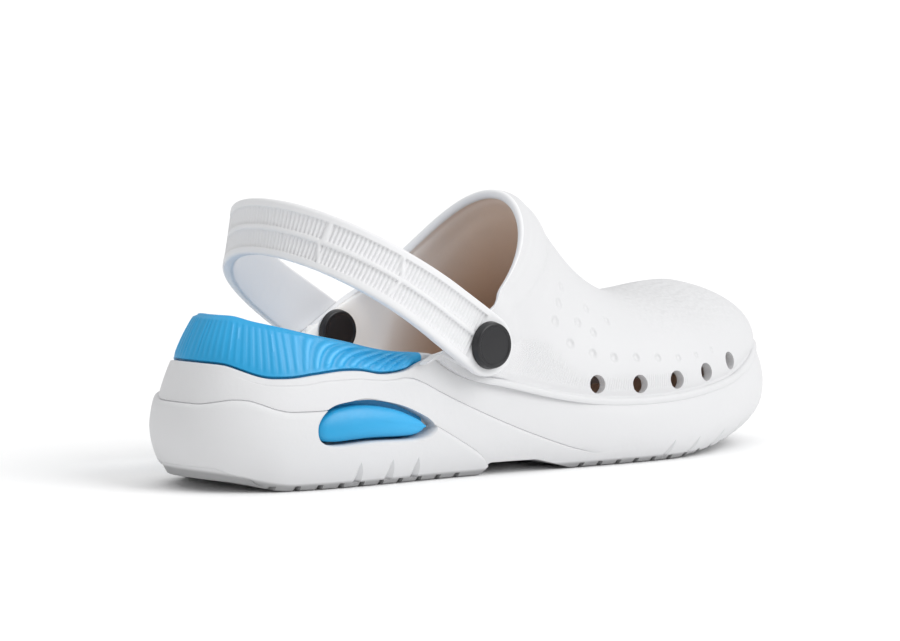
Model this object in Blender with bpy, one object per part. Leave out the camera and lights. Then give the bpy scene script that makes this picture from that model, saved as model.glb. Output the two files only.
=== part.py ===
"""A right-foot clog with a back strap, as its maker's pieces.

Metres, +Z up. The toe points to +X, the outer (lateral) side to -Y.
The shoe stands on Z = 0, with the middle of its length over the origin.
"""
import math

import bmesh
import bpy
import numpy as np
from mathutils import Matrix, Vector

MM = 0.001

# Driving sizes of the last and the shoe
LENGTH = 270 * MM
BALL_WIDTH = 102 * MM
SEAT_HEIGHT = 43.7 * MM        # white rim at the back of the heel
CUSHION_HEIGHT = 58.4 * MM     # blue rim at the back of the heel
INSTEP_HEIGHT = 95.8 * MM      # top of the collar

# Walls, clearances and steps
GAP = 0.3 * MM
UPPER_WALL = 3.5 * MM
BEAD_HEIGHT = 2.6 * MM
BEAD_OUT = 1.0 * MM
BEAD_LEDGE = 0.5 * MM          # height of the ledge above the bead
COLLAR_ROLL = 1.0 * MM
TIER_STEP = 1.5 * MM
SWOOSH_STEP = 1.1 * MM
CUSHION_WALL = 5.5 * MM
CUSHION_LEAN = 0.5

# Tread
TREAD_DEPTH = 1.7 * MM
TREAD_PITCH = 8 * MM
TREAD_GAP = 2.8 * MM
PIVOT_RADIUS = 15 * MM
HEEL_PAD_RADIUS = 11 * MM
ARCH_RISE = 4.3 * MM
FLUTE_WIDTH = 2.8 * MM
FLUTE_HEIGHT = 9 * MM
FLUTE_DEPTH = 1.2 * MM

# Vents, rivets and strap
VENT_RADIUS = 3.2 * MM
VENT_RISE = 6.6 * MM           # vent centre above the parting line
RIVET_AT = 99.8 / 270          # share of the length
RIVET_HEIGHT = SEAT_HEIGHT + 1.9 * MM
EAR_HALF_WIDTH = 0.4 * BALL_WIDTH
HEAD_RADIUS = 8.2 * MM
HEAD_THICK = 2.6 * MM
CAP_RADIUS = 8 * MM
CAP_THICK = 2.2 * MM
POST_RADIUS = 3 * MM
SOCKET_RADIUS = 4.6 * MM
STRAP_WIDTH = 21.5 * MM        # at the rivets
STRAP_REAR_WIDTH = 19 * MM
STRAP_THICK = 4 * MM
STRAP_SLOPE = math.radians(33)
STRAP_REACH = 62.5 * MM          # from the rivets back to the rear of the loop
STRAP_TURN = 46 * MM           # length of the rounded rear part
STRAP_BOW = 1.5 * MM
STRAP_REAR_LEAN = 0.12

# Fineness of the mesh
SIDE_STEPS = 42
UPPER_STEPS = 26
DOME_STEPS = 8
STRAP_STEPS = 40
HEEL_CROWDING = 0.4
FAIRING_PASSES = 40


class Table:
    """Rows with named columns, read between rows by a cubic that never overshoots."""

    def __init__(self, columns, rows):
        self.columns = columns
        self.rows = np.array(rows, float)

    def at(self, name, along):
        xs = self.rows[:, 0]
        ys = self.rows[:, self.columns.index(name)]
        if along <= xs[0]:
            return float(ys[0])
        if along >= xs[-1]:
            return float(ys[-1])
        slopes = np.diff(ys) / np.diff(xs)
        tangents = np.concatenate([[slopes[0]], (slopes[1:] + slopes[:-1]) / 2, [slopes[-1]]])
        for i, slope in enumerate(slopes):
            if slope == 0:
                tangents[i] = tangents[i + 1] = 0
                continue
            a, b = tangents[i] / slope, tangents[i + 1] / slope
            size = math.hypot(max(a, 0), max(b, 0))
            scale = 3 / size if size > 3 else 1
            tangents[i] = max(a, 0) * scale * slope
            tangents[i + 1] = max(b, 0) * scale * slope
        i = int(np.searchsorted(xs, along, side='right')) - 1
        h = xs[i + 1] - xs[i]
        t = (along - xs[i]) / h
        return float(ys[i] * (1 + 2 * t) * (1 - t) ** 2 + ys[i + 1] * t * t * (3 - 2 * t)
                     + h * t * (1 - t) * (tangents[i] * (1 - t) - tangents[i + 1] * t))


# Seen from above: shares of the length, and of the ball width
OUTLINE = Table(('along', 'lateral', 'medial'), (
    (0.000, 0.000, 0.000),
    (0.018, 0.176, 0.176),
    (0.074, 0.308, 0.308),
    (0.148, 0.363, 0.358),
    (0.222, 0.382, 0.378),
    (0.333, 0.394, 0.393),
    (0.444, 0.423, 0.412),
    (0.556, 0.466, 0.451),
    (0.648, 0.493, 0.490),
    (0.722, 0.495, 0.510),
    (0.796, 0.465, 0.508),
    (0.870, 0.392, 0.471),
    (0.926, 0.310, 0.404),
    (0.970, 0.178, 0.298)))
TOE_TIP = 0.078                # sideways place of the toe tip, share of the ball width

# Top edge of the sole: shares of the length, and of the seat height.
# It is the white rim at the heel, and the parting under the bead from the ears on.
RIM = Table(('along', 'height'), (
    (0.000, 1.000),
    (0.026, 1.000),
    (0.041, 0.970),
    (0.059, 0.926),
    (0.078, 0.885),
    (0.100, 0.862),
    (0.137, 0.868),
    (0.181, 0.888),
    (0.204, 0.881),
    (0.237, 0.848),
    (0.270, 0.868),
    (0.293, 0.922),
    (0.309, 0.950),
    (0.328, 0.880),
    (0.352, 0.800),
    (0.378, 0.745),
    (0.411, 0.700),
    (0.496, 0.574),
    (0.559, 0.510),
    (0.640, 0.485),
    (0.707, 0.500),
    (0.770, 0.545),
    (0.826, 0.605),
    (0.874, 0.700),
    (0.915, 0.800),
    (0.956, 0.870),
    (1.000, 0.900)))

# Steps in the side: the tier over the heel block, and the swoosh that falls to the ground
TIER = Table(('along', 'height'), (
    (0.000, 0.668),
    (0.007, 0.666),
    (0.013, 0.675),
    (0.022, 0.690),
    (0.034, 0.702),
    (0.048, 0.696),
    (0.062, 0.668),
    (0.078, 0.630),
    (0.100, 0.604),
    (0.137, 0.602),
    (0.200, 0.672),
    (0.256, 0.593),
    (0.304, 0.442),
    (0.352, 0.277),
    (0.380, 0.168),
    (0.400, 0.050),
    (0.420, 0.000)))
SWOOSH = Table(('along', 'height'), (
    (0.000, 0.945),
    (0.022, 0.945),
    (0.044, 0.912),
    (0.059, 0.882),
    (0.085, 0.832),
    (0.115, 0.808),
    (0.156, 0.822),
    (0.193, 0.824),
    (0.230, 0.806),
    (0.259, 0.812),
    (0.281, 0.796),
    (0.319, 0.684),
    (0.363, 0.556),
    (0.407, 0.435),
    (0.451, 0.323),
    (0.517, 0.178),
    (0.561, 0.105),
    (0.620, 0.000)))

# Side of the sole: insets are shares of the ball width, heights of the seat height
SIDE = Table(('along', 'ground', 'ground_inset', 'widest', 'round', 'top_inset', 'inner_inset'), (
    (0.000, 0.100, 0.070, 0.458, 2.0, 0.058, 0.098),
    (0.030, 0.075, 0.068, 0.458, 2.0, 0.055, 0.095),
    (0.060, 0.035, 0.062, 0.458, 2.2, 0.048, 0.088),
    (0.095, 0.000, 0.060, 0.440, 2.4, 0.042, 0.082),
    (0.200, 0.000, 0.058, 0.420, 2.6, 0.036, 0.076),
    (0.300, 0.000, 0.058, 0.400, 2.6, 0.012, 0.066),
    (0.400, 0.000, 0.060, 0.380, 2.6, 0.008, 0.054),
    (0.550, 0.000, 0.060, 0.360, 2.6, 0.008, 0.054),
    (0.700, 0.000, 0.062, 0.360, 2.8, 0.008, 0.054),
    (0.780, 0.040, 0.070, 0.400, 3.0, 0.008, 0.054),
    (0.870, 0.085, 0.092, 0.480, 3.0, 0.006, 0.054),
    (0.930, 0.115, 0.112, 0.540, 3.0, 0.006, 0.054),
    (1.000, 0.140, 0.140, 0.560, 3.0, 0.008, 0.056)))

# Inside: the sole's floor, the footbed on it, and the cushion's rim, as shares of the seat height
BED = Table(('along', 'floor', 'edge', 'middle', 'rim'), (
    (0.000, 0.343, 0.720, 0.640, 1.336),
    (0.052, 0.343, 0.720, 0.620, 1.330),
    (0.107, 0.343, 0.700, 0.600, 1.192),
    (0.189, 0.343, 0.690, 0.590, 1.082),
    (0.252, 0.340, 0.680, 0.590, 1.014),
    (0.300, 0.335, 0.660, 0.585, 0.992),
    (0.420, 0.310, 0.580, 0.540, 0.900),
    (0.550, 0.260, 0.440, 0.410, 0.900),
    (0.700, 0.230, 0.370, 0.350, 0.900),
    (0.850, 0.270, 0.400, 0.385, 0.900),
    (1.000, 0.370, 0.500, 0.490, 0.900)))

# Upper: the foot of each section goes round the toe, its ridge end runs along the instep.
# Shares of the length, the ball width and the instep height; lean 1 is straight, 0 is round.
UPPER = Table(('foot', 'ridge', 'ridge_side', 'ridge_height', 'lean', 'inset', 'fullness'), (
    (0.285, 0.524, 0.000, 1.003, 1.00, 0.002, 2.00),
    (0.305, 0.538, 0.000, 0.996, 1.00, 0.003, 2.00),
    (0.335, 0.555, 0.000, 0.966, 1.00, 0.004, 2.00),
    (0.390, 0.575, 0.005, 0.908, 0.95, 0.022, 2.00),
    (0.445, 0.600, 0.010, 0.833, 0.88, 0.030, 2.00),
    (0.500, 0.630, 0.020, 0.747, 0.78, 0.034, 2.05),
    (0.556, 0.660, 0.030, 0.680, 0.66, 0.034, 2.10),
    (0.611, 0.690, 0.040, 0.641, 0.52, 0.034, 2.15),
    (0.667, 0.722, 0.045, 0.630, 0.38, 0.034, 2.20),
    (0.722, 0.755, 0.050, 0.636, 0.25, 0.034, 2.20),
    (0.778, 0.785, 0.050, 0.645, 0.12, 0.034, 2.20),
    (0.833, 0.811, 0.050, 0.648, 0.05, 0.034, 2.15),
    (0.889, 0.830, 0.050, 0.645, 0.00, 0.034, 2.10),
    (0.944, 0.844, 0.050, 0.640, 0.00, 0.034, 2.05),
    (1.000, 0.855, 0.050, 0.636, 0.00, 0.034, 2.00)))
COLLAR_BOW = 7 * MM            # how far the collar's edge bows forward between foot and top

# Side window in the heel block: shares of the length and of the seat height
WINDOW = ((0.1407, 0.350), (0.2852, 0.350), (0.2965, 0.385), (0.3020, 0.428), (0.2944, 0.474),
          (0.2763, 0.533), (0.2556, 0.593), (0.2319, 0.638), (0.2037, 0.664), (0.1778, 0.657),
          (0.1556, 0.634), (0.1393, 0.572), (0.1300, 0.490), (0.1310, 0.400))
LOBE_RINGS = ((-12.0, 1.00), (3.6, 1.00), (2.6, 0.95), (1.8, 0.82), (1.2, 0.60), (0.9, 0.30))
LOBE_GAP = 0.9 * MM

VENTS = (0.562, 0.632, 0.698, 0.761, 0.826)
FLUTES = (0.193, 0.241, 0.281, 0.681, 0.730, 0.789, 0.844)


def smooth(low, high, value):
    """0 below low, 1 above high, and an even curve between them."""
    t = min(max((value - low) / (high - low), 0), 1)
    return t * t * (3 - 2 * t)


# The last's outline
def crowd(share, crowding):
    """Moves evenly spaced shares towards the heel."""
    return share * (1 - crowding * (1 - share))


def outline_sides(steps, crowding=0.0):
    """Points, outward directions and length shares from heel tip to toe tip, for both sides."""
    rows = OUTLINE.rows
    lateral = [(a, -w) for a, w, _ in rows[1:]]
    medial = [(a, w) for a, _, w in rows[1:]]
    knots = [(0.0, 0.0)] + lateral + [(1.0, TOE_TIP)] + medial[::-1]
    knots = np.array([(a * LENGTH, w * BALL_WIDTH) for a, w in knots])
    count = len(knots)
    dense = []
    for i in range(count):
        p0, p1, p2, p3 = (knots[(i + j - 1) % count] for j in range(4))
        spans = [np.linalg.norm(b - a) ** 0.5 for a, b in ((p0, p1), (p1, p2), (p2, p3))]
        m1 = ((p1 - p0) / spans[0] - (p2 - p0) / (spans[0] + spans[1]) + (p2 - p1) / spans[1])
        m2 = ((p2 - p1) / spans[1] - (p3 - p1) / (spans[1] + spans[2]) + (p3 - p2) / spans[2])
        m1, m2 = m1 * spans[1], m2 * spans[1]
        for t in np.linspace(0, 1, 16, endpoint=False):
            dense.append(p1 * (1 + 2 * t) * (1 - t) ** 2 + p2 * t * t * (3 - 2 * t)
                         + m1 * t * (1 - t) ** 2 - m2 * t * t * (1 - t))
    loop = resample(np.array(dense + dense[:1]), 480)[:-1]
    for _ in range(FAIRING_PASSES):
        loop = loop / 2 + np.roll(loop, 1, 0) / 4 + np.roll(loop, -1, 0) / 4
    low, high = loop[:, 0].min(), loop[:, 0].max()
    loop[:, 0] = (loop[:, 0] - low) / (high - low) * LENGTH
    heel, toe = int(loop[:, 0].argmin()), int(loop[:, 0].argmax())
    ring = np.roll(loop, -heel, 0)
    split = (toe - heel) % len(ring)
    sides = {}
    for name, path in (('lateral', ring[:split + 1]),
                       ('medial', np.vstack([ring[split:], ring[:1]])[::-1])):
        fine = resample(path, 800)
        outward = -1 if name == 'lateral' else 1
        stations = []
        for i in range(steps + 1):
            j = round(800 * crowd(i / steps, crowding))
            ahead = fine[min(j + 6, 800)] - fine[max(j - 6, 0)]
            ahead = ahead / np.linalg.norm(ahead)
            normal = np.array((-ahead[1], ahead[0])) * outward
            if i in (0, steps):
                normal = np.array((-1.0 if i == 0 else 1.0, 0.0))
            stations.append((fine[j], normal, fine[j][0] / LENGTH))
        sides[name] = stations
    return sides


def resample(path, steps):
    """The path's points again, at even distances."""
    lengths = np.concatenate([[0], np.cumsum(np.linalg.norm(np.diff(path, axis=0), axis=1))])
    marks = np.linspace(0, lengths[-1], steps + 1)
    return np.column_stack([np.interp(marks, lengths, path[:, i]) for i in (0, 1)])


def place(point, normal, inset, height):
    """A point in space, inset from the outline, with the middle of the length over the origin."""
    return (point[0] - normal[0] * inset - LENGTH / 2, point[1] - normal[1] * inset, height)


# Heights and insets that several pieces share
def rim_height(along):
    return RIM.at('height', along) * SEAT_HEIGHT


def side_inset(along, height):
    """Inset of the sole's outer face at a height, with its two steps."""
    ground = SIDE.at('ground', along) * SEAT_HEIGHT
    widest = SIDE.at('widest', along) * SEAT_HEIGHT
    top = rim_height(along)
    if height < widest:
        share = min((widest - height) / (widest - ground), 1)
        return SIDE.at('ground_inset', along) * BALL_WIDTH * share ** SIDE.at('round', along)
    share = min((height - widest) / max(top - widest, 1 * MM), 1)
    return SIDE.at('top_inset', along) * BALL_WIDTH * share ** 1.6


def step_insets(along):
    """Extra inset above the tier line, and above the swoosh line."""
    band = TIER_STEP * (1 - smooth(0.33, 0.52, along))
    front = band + SWOOSH_STEP * smooth(0.24, 0.30, along) * (1 - smooth(0.50, 0.58, along))
    return band, front


def inner_inset(along):
    """Inset of the cavity's wall in the sole."""
    return SIDE.at('inner_inset', along) * BALL_WIDTH


def bead_share(along):
    """0 in the strap's seat at the ears, 1 where the bead runs."""
    return smooth(0.362, 0.376, along)


# Mesh helpers
def new_object(name, mesh_maker, material):
    mesh = bpy.data.meshes.new(name)
    bm = bmesh.new()
    mesh_maker(bm)
    bmesh.ops.recalc_face_normals(bm, faces=bm.faces[:])
    bm.to_mesh(mesh)
    bm.free()
    item = bpy.data.objects.new(name, mesh)
    bpy.context.scene.collection.objects.link(item)
    mesh.shade_smooth()
    mesh.set_sharp_from_angle(angle=math.radians(40))
    if material:
        mesh.materials.append(material)
    return item


def new_material(name, color, roughness):
    material = bpy.data.materials.new(name)
    material.use_nodes = True
    shader = material.node_tree.nodes['Principled BSDF']
    shader.inputs['Base Color'].default_value = (*color, 1)
    shader.inputs['Roughness'].default_value = roughness
    shader.inputs['Metallic'].default_value = 0
    return material


def face(bm, corners):
    """A face, or nothing where its corners fall together."""
    distinct = []
    for corner in corners:
        if corner not in distinct:
            distinct.append(corner)
    if len(distinct) >= 3:
        bm.faces.new(distinct)


def bridge(bm, first, second, closed):
    """Quads between two rows of vertices of equal length."""
    count = len(first) if closed else len(first) - 1
    for i in range(count):
        j = (i + 1) % len(first)
        face(bm, (first[i], first[j], second[j], second[i]))


def across(bm, ring, steps):
    """Quads across a closed ring, from each station's one side to its other side."""
    count = 2 * steps
    for i in range(steps):
        face(bm, (ring[i], ring[i + 1], ring[(count - i - 1) % count], ring[(count - i) % count]))


def ring_stations(steps):
    """Stations once round the shoe: lateral side to the toe, and back on the medial side."""
    sides = outline_sides(steps, HEEL_CROWDING)
    return sides['lateral'] + sides['medial'][-2:0:-1]


def cut(target, tool, operation='DIFFERENCE'):
    tool.hide_render = True
    tool.display_type = 'WIRE'
    modifier = target.modifiers.new(tool.name, 'BOOLEAN')
    modifier.operation = operation
    modifier.solver = 'EXACT'
    modifier.object = tool


# Sole
def side_heights(along):
    """Heights of the outer face's rows, two of them at each step."""
    bottom = SIDE.at('ground', along) * SEAT_HEIGHT
    top = rim_height(along)
    least = 0.35 * MM
    tier = min(max(TIER.at('height', along) * SEAT_HEIGHT, bottom + 6 * least), top - 9 * least)
    swoosh = SWOOSH.at('height', along) * SEAT_HEIGHT
    swoosh = min(max(swoosh, tier + 4 * least), top - 5 * least)
    block = [bottom + (tier - bottom) * t for t in (0, 0.12, 0.32, 0.65, 1)]
    band = [tier + least + (swoosh - tier - least) * t for t in (0, 0.5, 1)]
    front = [swoosh + least + (top - swoosh - least) * t for t in (0, 0.45, 0.92, 1)]
    return block, band, front


def sole_mesh(bm):
    steps = SIDE_STEPS
    rows = []
    for point, normal, along in ring_stations(steps):
        block, band, front = side_heights(along)
        band_step, front_step = step_insets(along)
        column = [place(point, normal, side_inset(along, z), z) for z in block]
        column += [place(point, normal, side_inset(along, z) + band_step, z) for z in band]
        column += [place(point, normal, side_inset(along, z) + front_step, z) for z in front]
        x, y, top = column[-1]
        column[-1] = place(point, normal, side_inset(along, top) + front_step + 0.7 * MM, top)
        inner = max(inner_inset(along), side_inset(along, top) + front_step + 2 * MM)
        floor = BED.at('floor', along) * SEAT_HEIGHT
        column += [place(point, normal, inner, top), place(point, normal, inner, floor)]
        rows.append([bm.verts.new(p) for p in column])
    levels = list(zip(*rows))
    for lower, upper in zip(levels, levels[1:]):
        bridge(bm, lower, upper, True)
    across(bm, levels[0], steps)
    across(bm, levels[-1], steps)


def window_outline(inset):
    """The window's corners seen from the side, drawn in by an inset."""
    corners = np.array([(a * LENGTH, h * SEAT_HEIGHT) for a, h in WINDOW])
    centre = corners.mean(0)
    size = corners.max(0) - corners.min(0)
    scale = 1 - 2 * inset / size
    return [(c - centre) * scale + centre for c in corners]


def outline_y(along, side):
    column = 'lateral' if side < 0 else 'medial'
    return side * OUTLINE.at(column, along) * BALL_WIDTH


def window_tool_mesh(bm):
    for side in (-1, 1):
        loops = []
        for y in (side * 24 * MM, side * BALL_WIDTH * 0.6):
            loops.append([bm.verts.new((x - LENGTH / 2, y, z)) for x, z in window_outline(0)])
        bridge(bm, loops[0], loops[1], True)
        face(bm, loops[0])
        face(bm, loops[1][::-1])


def box_corners(x0, x1, y0, y1, z0, z1):
    return [(x, y, z) for z in (z0, z1) for x, y in ((x0, y0), (x1, y0), (x1, y1), (x0, y1))]


def add_box(bm, corners):
    verts = [bm.verts.new(c) for c in corners]
    bridge(bm, verts[:4], verts[4:], True)
    face(bm, verts[:4])
    face(bm, verts[4:])


def tread_tool_mesh(bm):
    """Cross grooves that leave a round pad at heel and ball, the arch, and flutes in the side."""
    half = BALL_WIDTH * 0.6
    below = -2 * MM
    pads = ((0.185, HEEL_PAD_RADIUS), (0.66, PIVOT_RADIUS))
    start, heel_end, ball_start, ball_end = 0.085, 0.36, 0.545, 0.93
    for low, high in ((start, heel_end), (ball_start, ball_end)):
        count = int((high - low) * LENGTH / TREAD_PITCH)
        for i in range(count + 1):
            x = low * LENGTH + i * TREAD_PITCH
            top = SIDE.at('ground', x / LENGTH) * SEAT_HEIGHT + TREAD_DEPTH
            gaps = [0]
            for centre, radius in pads:
                away = abs(x - centre * LENGTH)
                reach = radius + 1.5 * MM
                if away < reach:
                    gaps.append(math.sqrt(reach ** 2 - away ** 2))
            gap = max(gaps)
            spans = ((-half, -gap), (gap, half)) if gap > 2 * MM else ((-half, half),)
            for y0, y1 in spans:
                left = x - TREAD_GAP / 2 - LENGTH / 2
                add_box(bm, box_corners(left, left + TREAD_GAP, y0, y1, below, top))
    back, front = 0.385 * LENGTH - LENGTH / 2, 0.535 * LENGTH - LENGTH / 2
    slope = 3 * MM
    arch = box_corners(back, front, -half, half, below, ARCH_RISE)
    arch[4:] = box_corners(back + slope, front - slope, -half, half, below, ARCH_RISE)[4:]
    add_box(bm, arch)


def flute_tool_mesh(bm):
    """Leaning wedges that cut short flutes in the side above the tread."""
    sides = outline_sides(200)
    for name in ('lateral', 'medial'):
        stations = sides[name]
        for along in FLUTES:
            point, normal, share = min(stations, key=lambda s: abs(s[2] - along))
            ahead = np.array((-normal[1], normal[0]))
            ahead = ahead if ahead[0] > 0 else -ahead
            ground = SIDE.at('ground', along) * SEAT_HEIGHT
            low = ground + TREAD_DEPTH + 0.4 * MM
            high = ground + FLUTE_HEIGHT
            levels = []
            for share, lean, wide in ((0, 0, 1), (0.5, 0.8 * MM, 0.7), (1, 2 * MM, 0.2)):
                z = low + (high - low) * share
                inset = side_inset(along, z) + FLUTE_DEPTH * (1 - share) + 0.1 * MM
                level = []
                for u, v in ((-0.5, inset), (0.5, inset), (0.5, -6 * MM), (-0.5, -6 * MM)):
                    base = np.array(point) - normal * v + ahead * (u * FLUTE_WIDTH * wide + lean)
                    level.append(bm.verts.new((base[0] - LENGTH / 2, base[1], z)))
                levels.append(level)
            for lower, upper in zip(levels, levels[1:]):
                bridge(bm, lower, upper, True)
            face(bm, levels[0])
            face(bm, levels[-1])


def make_sole(material):
    sole = new_object('sole', sole_mesh, material)
    for name, maker in (('sole_windows', window_tool_mesh), ('sole_tread', tread_tool_mesh),
                        ('sole_flutes', flute_tool_mesh)):
        cut(sole, new_object(name, maker, None))
    return sole


# Insole with its heel cushion and side lobes
def insole_mesh(bm):
    steps = SIDE_STEPS
    rows = []
    for point, normal, along in ring_stations(steps):
        band_step, front_step = step_insets(along)
        rim = rim_height(along)
        top_inset = side_inset(along, rim) + front_step
        cavity = max(inner_inset(along), top_inset + 2 * MM) + GAP
        raised = 1 - smooth(0.315, 0.385, along)
        lipped = 1 - smooth(0.272, 0.294, along)
        floor = BED.at('floor', along) * SEAT_HEIGHT + GAP
        edge = BED.at('edge', along) * SEAT_HEIGHT
        middle = BED.at('middle', along) * SEAT_HEIGHT
        lip = top_inset + 1.1 * MM
        lip_top = max(rim + 2 * GAP, edge)
        crest = BED.at('rim', along) / BED.at('rim', 0) * CUSHION_HEIGHT
        height = max(crest - rim, 2.5 * MM)
        low_crest = edge + 0.5 * MM
        lean = CUSHION_LEAN * height

        def mix(low, high):
            return low + (high - low) * raised

        crest_z = mix(low_crest, crest)
        ledge_z = min(mix(edge - 1.2 * MM, lip_top), crest_z - 1 * MM)
        outer = cavity + (lip - cavity) * lipped
        wall = mix(4 * MM, CUSHION_WALL)
        under = ledge_z - GAP
        profile = [
            (cavity + 1 * MM, floor),
            (cavity, floor + 1 * MM),
            (cavity, under),
            (outer, ledge_z),
            (outer + mix(0.1 * MM, lean * 0.3 - 0.4 * MM), ledge_z + (crest_z - ledge_z) * 0.4),
            (outer + mix(0.3 * MM, lean * 0.9), ledge_z + (crest_z - ledge_z) * 0.92),
            (outer + mix(1.2 * MM, lean + 1.2 * MM), crest_z),
            (outer + mix(2.5 * MM, lean + wall - 0.8 * MM), crest_z - mix(0.2 * MM, 1.0 * MM)),
            (cavity + mix(5 * MM, 5 * MM + lean * 0.4), edge),
            (cavity + 9 * MM, edge + (middle - edge) * 0.7),
            (cavity + 15 * MM, middle)]
        rows.append([bm.verts.new(place(point, normal, inset, z)) for inset, z in profile])
    levels = list(zip(*rows))
    for lower, upper in zip(levels, levels[1:]):
        bridge(bm, lower, upper, True)
    across(bm, levels[0], steps)
    across(bm, levels[-1], steps)


def lobe_mesh(side):
    """One window's lobe, from inside the insert to just under the sole's side."""
    def maker(bm):
        corners = np.array(window_outline(LOBE_GAP))
        centre = corners.mean(0)
        loops = []
        for inset, scale in LOBE_RINGS:
            loop = []
            for corner in corners:
                x, z = centre + (corner - centre) * scale
                wide = outline_y(x / LENGTH, side)
                depth = inset * MM if inset > 0 else 14 * MM
                loop.append(bm.verts.new((x - LENGTH / 2, wide - side * depth, z)))
            loops.append(loop)
        for first, second in zip(loops, loops[1:]):
            bridge(bm, first, second, True)
        face(bm, loops[0])
        face(bm, loops[-1])
    return maker


def make_insole(material):
    insole = new_object('insole', insole_mesh, material)
    for side, name in ((-1, 'insole_lobe_lateral'), (1, 'insole_lobe_medial')):
        cut(insole, new_object(name, lobe_mesh(side), None), 'UNION')
    return insole


# Upper
def upper_columns(steps):
    """Stations from the lateral ear round the toe to the medial ear, closer at the collar."""
    sides = outline_sides(400)
    start = UPPER.rows[0][0]
    columns = []
    for name in ('lateral', 'medial'):
        stations = sides[name]
        ear = next(i for i, s in enumerate(stations) if s[2] >= start)
        shares = [0, 0.011, 0.022, 0.036]
        shares += list(np.linspace(0.055, 1, steps - 3))
        picked = [stations[ear + round(s * (400 - ear))] for s in shares]
        travel = [(1 - start) * s + start for s in shares]
        columns.append([(*p, t) for p, t in zip(picked, travel)])
    return columns[0] + columns[1][-2::-1]


def seat_weight(x, z):
    """1 on the strap's flat seat round the rivet, 0 away from it."""
    away = math.hypot(x - (RIVET_AT - 0.5) * LENGTH, z - RIVET_HEIGHT)
    return 1 - smooth(11 * MM, 23 * MM, away)


def upper_point(station, share):
    """A point of the upper's outer face, share 0 at the wall's foot and 1 on the ridge."""
    point, normal, along, foot = station
    base = rim_height(along) + GAP + BEAD_HEIGHT + BEAD_LEDGE
    inset = UPPER.at('inset', foot) * BALL_WIDTH
    start = np.array(place(point, normal, inset, base))
    end = np.array((UPPER.at('ridge', foot) * LENGTH - LENGTH / 2,
                    UPPER.at('ridge_side', foot) * BALL_WIDTH,
                    UPPER.at('ridge_height', foot) * INSTEP_HEIGHT))
    angle = share * math.pi / 2
    power = 2 / UPPER.at('fullness', foot)
    c, s = math.cos(angle) ** power, math.sin(angle) ** power
    lean = UPPER.at('lean', foot)
    x = start[0] + (end[0] - start[0]) * (lean * s + (1 - lean) * (1 - c))
    x += COLLAR_BOW * lean * math.sin(math.pi * s) * (1 - smooth(0, 0.25, foot - UPPER.rows[0][0]))
    y = end[1] + (start[1] - end[1]) * c
    z = start[2] + (end[2] - start[2]) * s
    side = -1 if normal[1] < 0 else 1
    weight = seat_weight(x, z)
    y = y * (1 - weight) + side * EAR_HALF_WIDTH * weight
    return Vector((x, y, z))


def upper_mesh(bm):
    columns = upper_columns(UPPER_STEPS)
    middle = len(columns) // 2
    shares = [i / DOME_STEPS for i in range(DOME_STEPS + 1)]
    outer = []
    for k, station in enumerate(columns):
        point, normal, along, foot = station
        bead = bead_share(along)
        base = rim_height(along) + GAP
        wall = UPPER.at('inset', foot) * BALL_WIDTH
        inset = SIDE.at('top_inset', along) * BALL_WIDTH
        out = wall + (inset - BEAD_OUT * 0.4 - wall) * bead
        profile = [(out + 0.6 * MM * bead, base),
                   (out - 0.2 * MM * bead, base + BEAD_HEIGHT * 0.3),
                   (out, base + BEAD_HEIGHT * 0.75),
                   (out + 1.0 * MM * bead, base + BEAD_HEIGHT)]
        column = [bm.verts.new(place(point, normal, i, z)) for i, z in profile]
        for j, share in enumerate(shares):
            if share == 1 and k > middle:
                column.append(outer[2 * middle - k][-1])
                continue
            column.append(bm.verts.new(upper_point(station, share)))
        outer.append(column)
    for first, second in zip(outer, outer[1:]):
        bridge(bm, first, second, False)
    bm.normal_update()
    bmesh.ops.recalc_face_normals(bm, faces=bm.faces[:])
    bm.normal_update()
    centre = Vector((0.2 * LENGTH, 0, 30 * MM))
    probe = outer[middle][6]
    sign = 1 if probe.normal.dot(probe.co - centre) > 0 else -1
    inner = []
    for k, station in enumerate(columns):
        point, normal, along, foot = station
        base = rim_height(along) + GAP
        inset = UPPER.at('inset', foot) * BALL_WIDTH + UPPER_WALL
        column = [bm.verts.new(place(point, normal, inset, base))]
        for j in range(4, len(outer[k])):
            if j == len(outer[k]) - 1 and k > middle:
                column.append(inner[2 * middle - k][-1])
                continue
            vert = outer[k][j]
            if j == 4:
                spot = place(point, normal, inset, vert.co.z)
            else:
                spot = vert.co - vert.normal * sign * UPPER_WALL
            spot = Vector(spot)
            weight = seat_weight(spot.x, spot.z)
            side = -1 if k < middle else 1
            spot.y = spot.y * (1 - weight) + side * (EAR_HALF_WIDTH - UPPER_WALL) * weight
            column.append(bm.verts.new(spot))
        inner.append(column)
    roll_collar(outer, inner, sign)
    for first, second in zip(inner, inner[1:]):
        bridge(bm, first, second, False)
    bridge(bm, [c[0] for c in outer], [c[0] for c in inner], False)
    for k in (0, len(columns) - 1):
        face(bm, outer[k][:5] + [inner[k][1], inner[k][0]])
        bridge(bm, outer[k][4:], inner[k][1:], False)


def roll_collar(outer, inner, sign):
    """Thickens the collar's edge into a roll."""
    swell = (0.25, 1.0, 0.9, 0.35)
    for k, amount in enumerate(swell):
        for row in (k, len(outer) - 1 - k):
            moved = [(v, v.normal.copy()) for v in outer[row][5:]]
            for i, (vert, normal) in enumerate(moved):
                last = i == len(moved) - 1
                if last and row > len(outer) // 2:
                    continue
                clear = 1 - seat_weight(vert.co.x, vert.co.z)
                vert.co += normal * sign * COLLAR_ROLL * amount * clear * min(1, (i + 1) / 3)


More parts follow.
